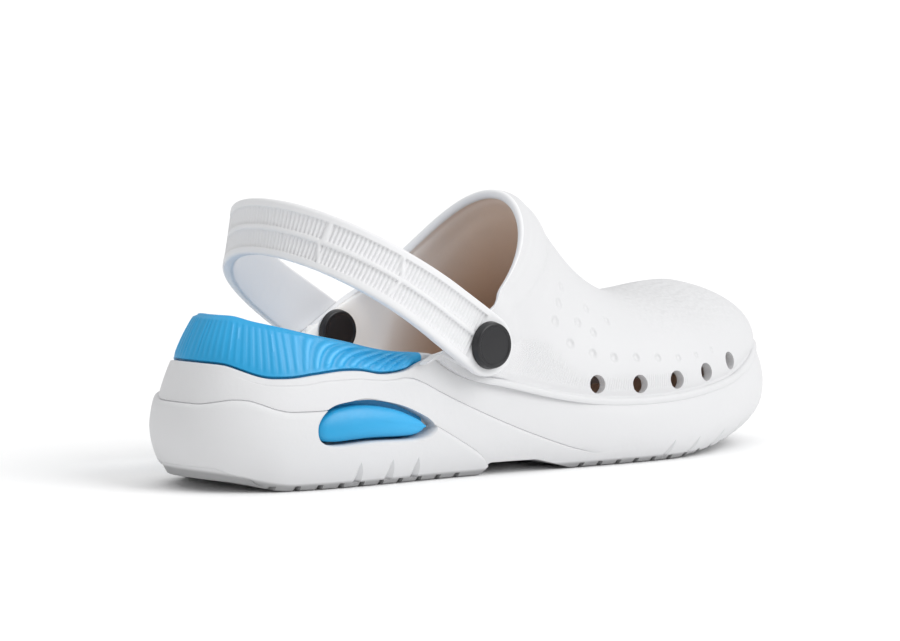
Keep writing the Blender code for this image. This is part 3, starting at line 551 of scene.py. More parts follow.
def white_foam(name, colour, grain, relief=0.45, detail_depth=0, ground_shade=False):
    """Matt moulded foam. detail_depth adds pebbles on the toe and dimples; the last flag paints shade as a grey
    band along the lower edge.
    """
    g = Graph(name)
    spot = g.position()
    broad = g.noise(spot, 28, 2)
    fine = g.noise(spot, 0.9 / grain, 3, 0.55)
    coarse = g.noise(spot, 0.35 / grain, 2)
    shade_of = g.mix(g.ramp(broad, 0.35, 0.65), tint(colour, 0.985), tint(colour, 1.0))
    # Painted shade: a grey band along the ground, rising at toe and heel, where the sole's lower edge lies in
    # shadow.
    if ground_shade:
        height = g.axis(spot, "Z")
        along = g.axis(spot, "X")
        toe_lift = g.ramp(along, 70 * MM, 135 * MM, 0, 5.6 * MM)
        heel_lift = g.ramp(along, -135 * MM, -104 * MM, 5.6 * MM, 0)
        ground_shade_mask = g.ramp(height - toe_lift - heel_lift + broad * 0.001, 1.8 * MM, 3.2 * MM, 1, 0)
        shade_of = g.mix(ground_shade_mask, shade_of, tint(colour, 0.5))
    g.set(Base_Color=shade_of, Roughness=0.5 + fine * 0.14)
    skin = fine * 0.6 + coarse * 0.8
    normal = g.bump(skin, 0.12 * MM, relief)
    if detail_depth:
        height = g.axis(spot, "Z")
        along = g.axis(spot, "X")
        normal = g.bump(dimple_details(g, spot), detail_depth, 1, normal)
        on_toe = g.ramp(along, 38 * MM, 62 * MM) * g.ramp(height, 40 * MM, 52 * MM)
        pebbles = g.node("ShaderNodeTexVoronoi", {"feature": "SMOOTH_F1"}, Vector=spot,
                         Scale=420, Smoothness=0.4)
        lumps = g.noise(spot, 260, 1)
        normal = g.bump((lumps * 1.2 - pebbles) * on_toe, 0.4 * MM, 0.9, normal)
    g.set(Normal=normal)
    g.shader.inputs["Specular IOR Level"].default_value = 0.45
    return g.material


def dimple_details(g, spot):
    """Sharpens the blind dimples that the mesh has: a height to bump by."""
    total = 0
    for cx, cz, radius in DIMPLES:
        stretch = 1 + 0.5 * max(cz - 42, 0) / 20
        flat = g.node("ShaderNodeVectorMath", {"operation": "MULTIPLY"}, spot, (1, 0, 1 / stretch))
        centre = (cx * MM - LENGTH / 2, 0, cz * MM / stretch)
        away = g.node("ShaderNodeVectorMath", {"operation": "DISTANCE"}, flat, centre, out="Value")
        total = total - g.ramp(away, DIMPLE_FLAT * radius * MM, DIMPLE_EDGE * radius * MM,
                               DIMPLE_DEPTH * radius, 0)
    return total


def inner_painted_light_and_shade(colour, edge_colour, grain):
    """The upper's inner face, the same white foam: painted light at the ears, lighter than the outer foam, and
    painted shade further in, warmer and darker, with a smoother skin.
    """
    g = Graph("inner_painted_light_and_shade")
    spot = g.position()
    fine = g.noise(spot, 0.7 / grain, 2)
    broad = g.noise(spot, 24, 2)
    deep = g.mix(g.ramp(broad, 0.3, 0.7), tint(colour, 0.96), tint(colour, 1))
    # Painted light at the ears, fading into painted shade deeper inside the shoe.
    inward = g.ramp(g.axis(spot, "X"), -22 * MM, 24 * MM)
    red, green, blue = edge_colour[:3]
    at_ear = tint([red, green * 0.985, blue * 0.955], 1.42)
    g.set(Base_Color=g.mix(inward, at_ear, deep), Roughness=0.62 + fine * 0.1, Normal=g.bump(fine, 0.08 * MM, 0.5))
    return g.material


def insert_foam(colour, bed_shade_colour, edge_colour, grain):
    """Blue soft foam with a satin skin, painted lighter towards the front and on the ripples' crests as painted
    sheen and highlight; the footbed ahead of the heel goes from painted light near the ears to the inner face's
    painted shade further in.
    """
    g = Graph("insert_foam")
    spot = g.position()
    fine = g.noise(spot, 0.8 / grain, 2)
    broad = g.noise(spot, 34, 3)
    shade_of = g.mix(g.ramp(broad, 0.3, 0.7), tint(colour, 0.92), tint(colour, 1.05))
    # Painted sheen: the blue is painted lighter towards the front.
    painted_front_sheen = g.ramp(g.axis(spot, "X"), -100 * MM, -48 * MM, 0, 0.8)
    shade_of = g.mix(painted_front_sheen, shade_of, tint([c + 0.03 for c in colour], 1.22))
    swell = g.node("ShaderNodeAttribute", {"attribute_name": "swell"}, out="Fac")
    # Painted highlight: the ripples' crests are painted lighter.
    crest_highlight = g.ramp(swell, -0.25, 0.55)
    shade_of = g.mix(crest_highlight, shade_of, g.mix(crest_highlight, shade_of, tint([c + 0.05 for c in colour], 1.22)))
    # Painted light and shade on the footbed ahead of the heel: lighter than the foam near the ears, and the inner
    # face's painted shade further in.
    ahead = g.ramp(g.axis(spot, "X") + broad * 0.001, -53.3 * MM, -52.7 * MM)
    inward = g.ramp(g.axis(spot, "X"), -48 * MM, -10 * MM)
    shade_of = g.mix(ahead, shade_of, g.mix(inward, tint(edge_colour, 1.1), tint(bed_shade_colour, 0.95)))
    g.set(Base_Color=shade_of, Roughness=0.33 + fine * 0.14, Normal=g.bump(fine, 0.07 * MM, 0.5))
    g.shader.inputs["Coat Weight"].default_value = 0.08
    g.shader.inputs["Coat Roughness"].default_value = 0.3
    return g.material


def rivet_plastic(colour):
    """Black satin plastic with a faint moulded grain."""
    g = Graph("rivet_plastic")
    spot = g.position()
    fine = g.noise(spot, 1400, 2)
    g.set(Base_Color=g.mix(fine, tint(colour, 0.8), tint(colour, 1.2)),
          Roughness=0.3 + fine * 0.12, Normal=g.bump(fine, 0.03 * MM, 0.4))
    return g.material


def floor_finish(brightness):
    g = Graph("studio_floor")
    spot = g.position()
    faint = g.noise(spot, 6, 1)
    g.set(Base_Color=g.mix(faint, (brightness, brightness, brightness, 1),
                           (brightness * 0.995, brightness * 0.997, brightness, 1)),
          Roughness=0.9 + faint * 0.02)
    return g.material


# Sole
LUG_LINE = Table(("along", "height"), (
    (0.000, 0.190), (0.015, 0.186), (0.033, 0.132), (0.050, 0.102), (0.058, 0.060), (0.080, 0.044),
    (0.700, 0.044), (0.780, 0.080), (0.870, 0.125), (0.930, 0.155), (1.000, 0.180)))


def sole_rows(along):
    """Height and extra inset of each row of the outer face, from the ground to the rim."""
    bottom = SIDE.at("ground", along) * SEAT_HEIGHT
    top = rim_height(along)
    least = 0.35 * MM
    tier = np.maximum(TIER.at("height", along) * SEAT_HEIGHT, bottom + 8 * least)
    tier = np.minimum(tier, top - 12 * least)
    sweep = np.maximum(SWOOSH.at("height", along) * SEAT_HEIGHT, tier + 6 * least)
    sweep = np.minimum(sweep, top - 6 * least)
    lug = np.minimum(LUG_LINE.at("height", along) * SEAT_HEIGHT, tier - 6 * least)
    lug = np.maximum(lug, bottom + 1 * MM)
    band, front = step_insets(along)
    lug_step = 0.9 * MM * (1 - smooth(0.052, 0.064, along))
    none = 0 * along
    rows = [(bottom, none + 0.5 * MM + lug_step), (bottom + 0.35 * MM, none + lug_step)]
    rows += [(bottom + (lug - bottom) * t, none + lug_step) for t in (0.4, 0.8)]
    rows += [(lug - 0.25 * MM, lug_step + 0.2 * MM * (lug_step > 0)), (lug, lug_step * 0.6),
             (lug + 0.3 * MM, lug_step * 0.08)]
    span = np.maximum(tier - 2.5 * MM - lug - 0.6 * MM, 0.6 * MM)
    rows += [(lug + 0.6 * MM + span * t, none) for t in np.linspace(0, 1, 16)]
    rows += steps_up(tier, np.minimum(2.2 * MM, (tier - lug) * 0.25), none, band, 0.4 * MM)
    gap = sweep - tier
    rows += [(tier + gap * t, band) for t in np.linspace(0.18, 0.86, 11)]
    rows += steps_up(sweep, np.minimum(1.3 * MM, gap * 0.12), band, front, 0.35 * MM)
    rise = top - sweep
    rows += [(sweep + rise * t, front) for t in np.linspace(0.12, 0.8, 9)]
    lip = np.minimum(0.9 * MM, rise * 0.18) * (1 - 0.72 * smooth(0.33, 0.38, along))
    for angle in (0, 22.5, 45, 67.5, 90):
        c, s = math.cos(math.radians(angle)), math.sin(math.radians(angle))
        rows.append((top - lip * (1 - s), front + lip * (1 - c)))
    rising = [rows[0]]
    for height, inset in rows[1:]:
        rising.append((np.maximum(height, rising[-1][0] + 0.03 * MM), inset))
    return rising


def steps_up(line, soft, below, above, crease):
    """Rows of one step: a rounded lower edge, and a crease where the face above starts."""
    depth = above - below
    return [(line - soft, below), (line - soft * 0.55, below + depth * 0.06),
            (line - soft * 0.22, below + depth * 0.24), (line - soft * 0.04, below + depth * 0.55),
            (line, above + crease * (depth > 0.1 * MM) * np.clip(depth / MM, 0, 1)),
            (line + 0.3 * MM, above)]


def sole_mesh(material):
    steps = 270
    points, normals, along = ring_stations(steps)
    grid = []
    for height, extra in sole_rows(along):
        grid.append(place(points, normals, side_inset(along, height) + extra, height))
    top = rim_height(along)
    front = step_insets(along)[1]
    outer = side_inset(along, top) + front
    inner = np.maximum(SIDE.at("inner_inset", along) * BALL_WIDTH, outer + 2 * MM)
    floor = BED.at("floor", along) * SEAT_HEIGHT
    grid.append(place(points, normals, inner - 0.6 * MM, top))
    grid.append(place(points, normals, inner - 0.15 * MM, top - 0.2 * MM))
    for t in (0.06, 0.3, 0.6, 0.9):
        grid.append(place(points, normals, inner, top + (floor - top) * t))
    grid.append(place(points, normals, inner + 0.4 * MM, floor))
    count = len(points)
    faces = grid_faces(len(grid), count, wrap_columns=True)
    faces += [f[::-1] for f in across_faces(0, steps)]
    faces += across_faces((len(grid) - 1) * count, steps)
    item = mesh_object("sole_side", np.vstack(grid), faces, material)
    outward_normals(item)
    return item


def window_loop(inset, steps_per_span=7):
    """The window seen from the side, drawn in by an inset: points (x, z)."""
    corners = closed_curve([((a - 0.5) * LENGTH, h * SEAT_HEIGHT) for a, h in WINDOW], steps_per_span)
    ahead = np.roll(corners, -1, 0) - np.roll(corners, 1, 0)
    ahead /= np.linalg.norm(ahead, axis=1)[:, None]
    inward = np.column_stack([-ahead[:, 1], ahead[:, 0]])
    return corners + inward * inset


def side_surface(x, z, side):
    """How far out the sole's outer face is at a place seen from the side."""
    walk = LATERAL if side < 0 else MEDIAL
    half = np.interp(x + LENGTH / 2, walk.points[:, 0], np.abs(walk.points[:, 1]))
    return half - side_inset(x / LENGTH + 0.5, z)


def window_tool():
    """Both windows' openings, flared where they meet the side for a rounded lip."""
    flare = ((-9, -1.6), (-0.6, -1.6), (0.0, -0.75), (0.35, -0.35), (0.9, -0.08), (1.6, 0.0), (9.2, 0.0))
    points, faces = [], []
    for side in (-1, 1):
        first = len(points)
        for depth, inset in flare:
            loop = window_loop(inset * MM)
            y = side_surface(loop[:, 0], loop[:, 1], side) - depth * MM
            points += [(x, side * v, z) for (x, z), v in zip(loop, y)]
        count = len(loop)
        faces += grid_faces(len(flare), count, wrap_columns=True, offset=first)
        faces.append(tuple(range(first, first + count)))
        last = first + (len(flare) - 1) * count
        faces.append(tuple(range(last, last + count))[::-1])
    return mesh_object("window_tool", points, faces)


def groove_tool():
    """Cross grooves of the tread, which leave a round pad at heel and ball."""
    bpy.ops.mesh.primitive_cube_add(size=1)
    template = bpy.context.object
    bpy.ops.object.mode_set(mode="EDIT")
    bpy.ops.mesh.select_all(action="DESELECT")
    pick(template, lambda middle, normal: normal.z > 0.9)
    bpy.ops.transform.resize(value=(0.72, 1, 1))
    bpy.ops.mesh.bevel(offset=0.06, segments=2, affect="EDGES")
    bpy.ops.object.mode_set(mode="OBJECT")
    half = BALL_WIDTH * 0.6
    below = -2 * MM
    pads = ((0.185, HEEL_PAD_RADIUS), (0.66, PIVOT_RADIUS))
    places = []
    for low, high in ((0.085, 0.36), (0.545, 0.93)):
        for i in range(int((high - low) * LENGTH / TREAD_PITCH) + 1):
            x = low * LENGTH + i * TREAD_PITCH
            top = float(SIDE.at("ground", x / LENGTH)) * SEAT_HEIGHT + TREAD_DEPTH
            gap = 0.0
            for centre, radius in pads:
                reach = radius + 1.5 * MM
                away = abs(x - centre * LENGTH)
                if away < reach:
                    gap = max(gap, math.sqrt(reach ** 2 - away ** 2))
            spans = ((-half, -gap), (gap, half)) if gap > 2 * MM else ((-half, half),)
            for y0, y1 in spans:
                middle = Vector((x - LENGTH / 2, (y0 + y1) / 2, (below + top) / 2))
                size = (TREAD_GAP, y1 - y0, top - below)
                places.append(Matrix.Translation(middle) @ Matrix.Diagonal((*size, 1)))
    return stamped("groove_tool", template, places)


def arch_tool():
    """The arch between heel and ball tread, from a cube with its upper face drawn in."""
    back, front = (ARCH_BACK - 0.5) * LENGTH, (ARCH_FRONT - 0.5) * LENGTH
    low, high = -2 * MM, ARCH_RISE
    bpy.ops.mesh.primitive_cube_add(size=1, location=((back + front) / 2, 0, (low + high) / 2),
                                    scale=(front - back, BALL_WIDTH * 1.2, high - low))
    arch = bpy.context.object
    arch.name = "arch_tool"
    bpy.ops.object.transform_apply(location=True, rotation=True, scale=True)
    bpy.ops.object.mode_set(mode="EDIT")
    pick(arch, lambda middle, normal: normal.z > 0.9)
    roof = front - back - ARCH_BACK_RAMP - ARCH_FRONT_RAMP
    bpy.ops.transform.resize(value=(roof / (front - back), 1, 1))
    bpy.ops.transform.translate(value=((ARCH_BACK_RAMP - ARCH_FRONT_RAMP) / 2, 0, 0))
    bpy.ops.mesh.bevel(offset=1.2 * MM, segments=4, affect="EDGES")
    bpy.ops.object.mode_set(mode="OBJECT")
    return arch


def flute_tool():
    """Slim leaning cones that cut pointed flutes in the side above the tread."""
    bpy.ops.mesh.primitive_cone_add(vertices=4, radius1=1, radius2=0.04, depth=1, location=(0, 0, 0.5))
    template = bpy.context.object
    bpy.ops.object.transform_apply(location=True, rotation=True, scale=True)
    places = []
    for walk, side in ((LATERAL, -1), (MEDIAL, 1)):
        for along in FLUTES:
            point, normal, _ = (v[0] for v in walk.at(np.array([walk.mark(along)])))
            ground = float(SIDE.at("ground", along)) * SEAT_HEIGHT
            front = along > 0.5
            low, high = ground + 1.2 * MM, ground + (9.0 if front else 10.2) * MM
            foot = float(side_inset(along, low + 0.8 * MM))
            head = float(side_inset(along, high)) - 0.7 * MM
            ahead = np.array((-normal[1], normal[0])) * (1 if -normal[1] > 0 else -1)
            lean = (3.0 if front else -0.4) * MM
            base = Vector((*(point - normal * foot), low))
            tip = Vector((*(point - normal * head + ahead * lean), high))
            axis = tip - base
            across = Vector((*ahead, 0))
            out = across.cross(axis).normalized()
            wide, deep = (1.7 if front else 2.4) * MM, (1.4 if front else 1.8) * MM
            across = axis.cross(out).normalized()
            matrix = Matrix((
                (across.x * wide, out.x * deep, axis.x, base.x - LENGTH / 2),
                (across.y * wide, out.y * deep, axis.y, base.y),
                (across.z * wide, out.z * deep, axis.z, base.z), (0, 0, 0, 1)))
            places.append(matrix)
    return stamped("flute_tool", template, places)


def build_sole(material):
    sole = sole_mesh(material)
    cut(sole, window_tool())
    cut(sole, flute_tool())
    cut(sole, arch_tool())
    cut(sole, groove_tool())
    shade(sole, 30)
    return finish_piece(sole, "sole_foam", "sole")


# Upper
def upper_marks(walk):
    """Distances from heel tip to toe tip: close at the collar, and two to each fine rib."""
    start = walk.mark(UPPER.rows[0][0]) + 1.6 * MM
    ribs = walk.mark(RIB_START / LENGTH + 0.5)
    near = start + np.array([0, 0.35, 0.8, 1.4, 2.1, 2.9, 3.8, 4.8, 5.8, 6.8, 7.9]) * MM
    middle = np.linspace(near[-1] + 1.1 * MM, ribs, 14, endpoint=False)
    fine = ribs + RIB_PITCH / 2 * np.arange(RIB_COLUMNS)
    rest = np.linspace(fine[-1], walk.total, 62)[1:]
    return np.concatenate([near, middle, fine, rest]), len(near) + len(middle)


def upper_wall(points, normals, along, foot, side, shares):
    """The outer face above the bead as a grid: a row per share, a column per station."""
    base = bead_base(along) + (BEAD_HEIGHT + BEAD_LEDGE) * foot_taper(foot)
    start = place(points, normals, UPPER.at("inset", foot) * BALL_WIDTH, base)
    end = np.stack([UPPER.at("ridge", foot) * LENGTH - LENGTH / 2, UPPER.at("ridge_side", foot) * BALL_WIDTH,
                    UPPER.at("ridge_height", foot) * INSTEP_HEIGHT], axis=1)
    power = 2 / UPPER.at("fullness", foot)
    lean = UPPER.at("lean", foot)
    bow = COLLAR_BOW * lean * (1 - smooth(0, 0.25, foot - UPPER.rows[0][0]))
    rows = []
    for share in shares:
        angle = share * math.pi / 2
        c, s = max(math.cos(angle), 0) ** power, math.sin(angle) ** power
        x = start[:, 0] + (end[:, 0] - start[:, 0]) * (lean * s + (1 - lean) * (1 - c))
        x = x + bow * np.sin(math.pi * s)
        y = end[:, 1] + (start[:, 1] - end[:, 1]) * c
        z = start[:, 2] + (end[:, 2] - start[:, 2]) * s
        weight = seat_weight(x, z)
        y = y * (1 - weight) + side * EAR_HALF_WIDTH * weight
        rows.append(np.stack([x, y, z], axis=1))
    return np.array(rows)


def seat_weight(x, z):
    """1 on the strap's flat seat round the rivet, 0 away from it."""
    return 1 - smooth(11.6 * MM, 23 * MM, np.hypot(x - RIVET_X, z - RIVET_HEIGHT))


def bead_base(along):
    """Foot of the upper, just into the sole's rounded lip so that no slit shows."""
    return rim_height(along) - 0.12 * MM


def foot_taper(foot):
    """Height share of the bead and ledge: the ear's rear foot starts as a thin wedge."""
    return 0.12 + 0.88 * smooth(UPPER.rows[0][0], UPPER.rows[0][0] + 0.05, foot)


def bead_rows(points, normals, along, foot):
    """The parting edge and the bead that rolls along it, as rows of points."""
    bead = smooth(0.364, 0.371, along)
    base = bead_base(along)
    wall = UPPER.at("inset", foot) * BALL_WIDTH
    out = wall + (SIDE.at("top_inset", along) * BALL_WIDTH - BEAD_OUT * 0.4 - wall) * bead
    tall = BEAD_HEIGHT * foot_taper(foot)
    rows = [place(points, normals, out + 0.4 * MM * bead, base)]
    for angle in (-75, -50, -25, 0, 25, 50, 75, 95):
        c, s = math.cos(math.radians(angle)), math.sin(math.radians(angle))
        roll = (1.3 if angle > 0 else 0.35) * MM
        rows.append(place(points, normals, out + roll * bead * (1 - c), base + tall * (0.5 + 0.5 * s)))
    rows.append(place(points, normals, out + (wall - out) * 0.8, base + tall - 0.25 * MM * bead))
    return rows


def grid_normals(grid):
    """Unit normals of a grid of points, from its neighbours along both directions."""
    u = np.gradient(grid, axis=1)
    v = np.gradient(grid, axis=0)
    n = np.cross(u, v)
    size = np.linalg.norm(n, axis=2, keepdims=True)
    return n / np.maximum(size, 1e-12)


def upper_relief(grid, first_rib, depth):
    """How far each point of the wall stands out: collar band, step line, ribs and dimples."""
    steps = np.linalg.norm(np.diff(grid, axis=1), axis=2)
    run = np.concatenate([np.zeros((len(grid), 1)), np.cumsum(steps, axis=1)], axis=1)
    flat = 1 - seat_weight(grid[:, :, 0], grid[:, :, 2])
    relief = COLLAR_BAND * (1 - smooth(3.6 * MM, 6.2 * MM, run)) * flat
    height = (np.arange(len(grid)) / (len(grid) - 1))[:, None]
    line = 11 * MM + 4 * MM * height
    relief += 0.32 * MM * (1 - smooth(0, 0.9 * MM, run - line)) * flat * smooth(0.08, 0.2, height)
    x, z = grid[:, :, 0], grid[:, :, 2]
    limit = RIB_TOP_BACK - RIB_TOP_DROP * smooth(-7 * MM, 15.5 * MM, x)
    zone = smooth(0, 0.8 * MM, limit - z)
    zone = zone * smooth(RIB_START, RIB_START + 3 * MM, x) * (1 - smooth(RIB_END - 9 * MM, RIB_END, x))
    wave = np.zeros(grid.shape[1])
    wave[first_rib + 1:first_rib + RIB_COLUMNS:2] = -RIB_DEPTH
    relief += wave[None, :] * zone * depth
    for cx, cz, radius in DIMPLES:
        target = np.hypot(x + LENGTH / 2 - cx * MM, z - cz * MM)
        j, i = np.unravel_index(np.argmin(target), target.shape)
        away = np.linalg.norm(grid - grid[j, i], axis=2)
        edge = smooth(DIMPLE_FLAT * radius * MM, DIMPLE_EDGE * radius * MM, away)
        relief -= depth * DIMPLE_DEPTH * radius * (1 - edge)
    return relief


def upper_sides(depth):
    """Outer and inner grids of both sides, each from its ear to the toe tip."""
    shares = 1 - (1 - np.linspace(0, 1, 58)) ** 1.12
    made = []
    for walk, side in ((LATERAL, -1), (MEDIAL, 1)):
        marks, first_rib = upper_marks(walk)
        points, normals, along = walk.at(marks)
        start, first = UPPER.rows[0][0], walk.mark(UPPER.rows[0][0])
        foot = start + (1 - start) * (marks - first) / (walk.total - first)
        wall = upper_wall(points, normals, along, foot, side, shares)
        outward = grid_normals(wall) * side * -1
        if (outward[20, 60] * (0, side, 0)).sum() < 0:
            outward = -outward
        foot_inset = UPPER.at("inset", foot) * BALL_WIDTH + UPPER_WALL
        thin = COLLAR_THIN * (1 - smooth(0, 9 * MM, (marks - marks[0])[None, :, None]))
        inner = wall - outward * (UPPER_WALL - thin)
        weight = seat_weight(inner[:, :, 0], inner[:, :, 2])
        seat = EAR_HALF_WIDTH - UPPER_WALL + thin[:, :, 0]
        inner[:, :, 1] = inner[:, :, 1] * (1 - weight) + side * seat * weight
        inner[0] = place(points, normals, foot_inset, wall[0, :, 2])
        relief = upper_relief(wall, first_rib, depth)
        face = wall + outward * relief[:, :, None]
        face[0] = wall[0]
        low = place(points, normals, foot_inset, bead_base(along))
        outer = np.concatenate([np.array(bead_rows(points, normals, along, foot)), face])
        inner = np.concatenate([low[None], inner])
        made.append((outer, inner))
    return made


def join_halves(lateral, medial, ridge):
    """One grid from the lateral ear round the toe to the medial ear."""
    both = np.concatenate([lateral, medial[:, -2::-1]], axis=1)
    middle = lateral.shape[1] - 1
    both[:, middle] = (lateral[:, -1] + medial[:, -1]) / 2
    if ridge:
        top = (lateral[-1, :-1] + medial[-1, :-1]) / 2
        both[-1, :middle] = top
        both[-1, middle + 1:] = top[::-1]
    return both


def collar_edge(outer, inner):
    """Points of the rounded edge from the outer to the inner column, beyond the grid's end."""
    away = outer[:, 0] - outer[:, 2]
    away /= np.maximum(np.linalg.norm(away, axis=1, keepdims=True), 1e-12)
    across = (outer[:, 0] - inner[:, 0]) / 2
    middle = (outer[:, 0] + inner[:, 0]) / 2
    radius = np.linalg.norm(across, axis=1, keepdims=True)
    columns = []
    for angle in np.radians((20, 40, 60, 80, 100, 120, 140, 160)):
        columns.append(middle + across * math.cos(angle) + away * radius * math.sin(angle) * 0.85)
    return np.stack(columns, axis=1)


def upper_mesh(looks, foam, inner_painted, edge_painted_light):
    (outer_l, inner_l), (outer_m, inner_m) = upper_sides(looks.detail_depth)
    bead = outer_l.shape[0] - (inner_l.shape[0] - 1)
    outer = join_halves(outer_l, outer_m, True)
    inner = join_halves(inner_l, inner_m, True)
    edges = [collar_edge(outer[bead:], inner[1:]), collar_edge(outer[bead:, ::-1], inner[1:, ::-1])]
    rows, columns = outer.shape[:2]
    inner_rows = inner.shape[0]
    points = [outer.reshape(-1, 3), inner.reshape(-1, 3)]
    start = rows * columns
    faces = grid_faces(rows, columns)
    inner_faces = grid_faces(inner_rows, columns, offset=start, flip=True)
    rim = [(start + i, start + i + 1, i + 1, i) for i in range(columns - 1)]
    offset = start + inner_rows * columns
    caps = []
    for edge, column in zip(edges, (0, columns - 1)):
        count = edge.shape[1]
        points.append(edge.reshape(-1, 3))

        def index(j, k):
            """Column k of the edge: the outer grid first, the inner grid last."""
            if k == 0:
                return (bead + j) * columns + column
            if k == count + 1:
                return start + (1 + j) * columns + column
            return offset + j * count + k - 1
        for j in range(edge.shape[0] - 1):
            for k in range(count + 1):
                caps.append((index(j, k), index(j, k + 1), index(j + 1, k + 1), index(j + 1, k)))
        heel = [r * columns + column for r in range(bead + 1)]
        caps.append(tuple(heel + [index(0, k) for k in range(1, count + 2)] + [start + column]))
        offset += edge.shape[0] * count
    item = mesh_object("upper_shell", np.vstack(points), faces + inner_faces + rim + caps, foam)
    # Slot 1: the inner faces, with painted light at the ears and painted shade further in.
    item.data.materials.append(inner_painted)
    # Slot 2: the rounded collar edge, the white foam painted lighter as painted light.
    item.data.materials.append(edge_painted_light)
    last = len(faces) + len(inner_faces)
    for polygon in item.data.polygons:
        beyond = 2 if polygon.index >= last + len(rim) else 0
        polygon.material_index = 1 if len(faces) <= polygon.index < last else beyond
    outward_normals(item)
    return item


def vent_tool():
    """Round vents whose mouths flare a little, standing square to the wall."""
    bpy.ops.mesh.primitive_cylinder_add(vertices=48, radius=VENT_RADIUS, depth=12 * MM)
    template = bpy.context.object
    bpy.ops.object.mode_set(mode="EDIT")
    pick(template, lambda middle, normal: normal.z > 0.9)
    for rise, grow in ((0.35, 1.04), (0.3, 1.07), (0.25, 1.12), (4, 1.9)):
        bpy.ops.mesh.extrude_region_move(TRANSFORM_OT_translate={"value": (0, 0, rise * MM)})
        bpy.ops.transform.resize(value=(grow, grow, 1))
    bpy.ops.object.mode_set(mode="OBJECT")
    places = []
    for walk in (LATERAL, MEDIAL):
        for along in VENTS:
            point, normal, _ = (v[0] for v in walk.at(np.array([walk.mark(along)])))
            height = float(rim_height(along)) + VENT_RISE
            turn = Vector((normal[0], normal[1], 0.12)).to_track_quat("Z", "Y").to_matrix().to_4x4()
            inset = float(UPPER.at("inset", 0.6)) * BALL_WIDTH + 6.0 * MM
            spot = Vector((point[0] - normal[0] * inset - LENGTH / 2, point[1] - normal[1] * inset, height))
            places.append(Matrix.Translation(spot) @ turn)
    return stamped("vent_tool", template, places)


def rivet_hole_tool():
    bpy.ops.mesh.primitive_cylinder_add(vertices=40, radius=POST_RADIUS + GAP, depth=30 * MM)
    template = bpy.context.object
    turn = Matrix.Rotation(math.pi / 2, 4, "X")
    return stamped("rivet_hole_tool", template, [
        Matrix.Translation((RIVET_X, side * EAR_HALF_WIDTH, RIVET_HEIGHT)) @ turn for side in (-1, 1)])


def build_upper(looks, foam, inner_painted, edge_painted_light):
    upper = upper_mesh(looks, foam, inner_painted, edge_painted_light)
    cut(upper, vent_tool())
    cut(upper, rivet_hole_tool())
    shade(upper, 27)
    return finish_piece(upper, "upper_foam", "upper")


# Insert
def ripple(mark, height, along):
    """Relief of the cushion's outer face: upright ripples at the heel that turn into waves."""
    turned = smooth(46 * MM, 72 * MM, mark)
    walked = np.arange(0, 400) * MM
    waves = np.cumsum(MM / ((3.2 + 1.4 * smooth(46 * MM, 72 * MM, walked)) * MM))
    bend = 17 * MM * smooth(44 * MM, 84 * MM, mark) * height ** 1.5
    phase = 2 * math.pi * np.interp(mark - bend, walked, waves)
    swell = np.sin(phase + 0.8 * np.sin(mark / (7 * MM)))
    swell = np.where(swell > 0, swell, swell * 0.7)
    fade = smooth(0.02, 0.16, height) * (1 - smooth(0.84 - 0.1 * turned, 1.0, height))
    ahead = 1 - smooth(0.255, 0.29, along)
    return swell * (0.24 + 0.42 * turned) * MM * fade * ahead


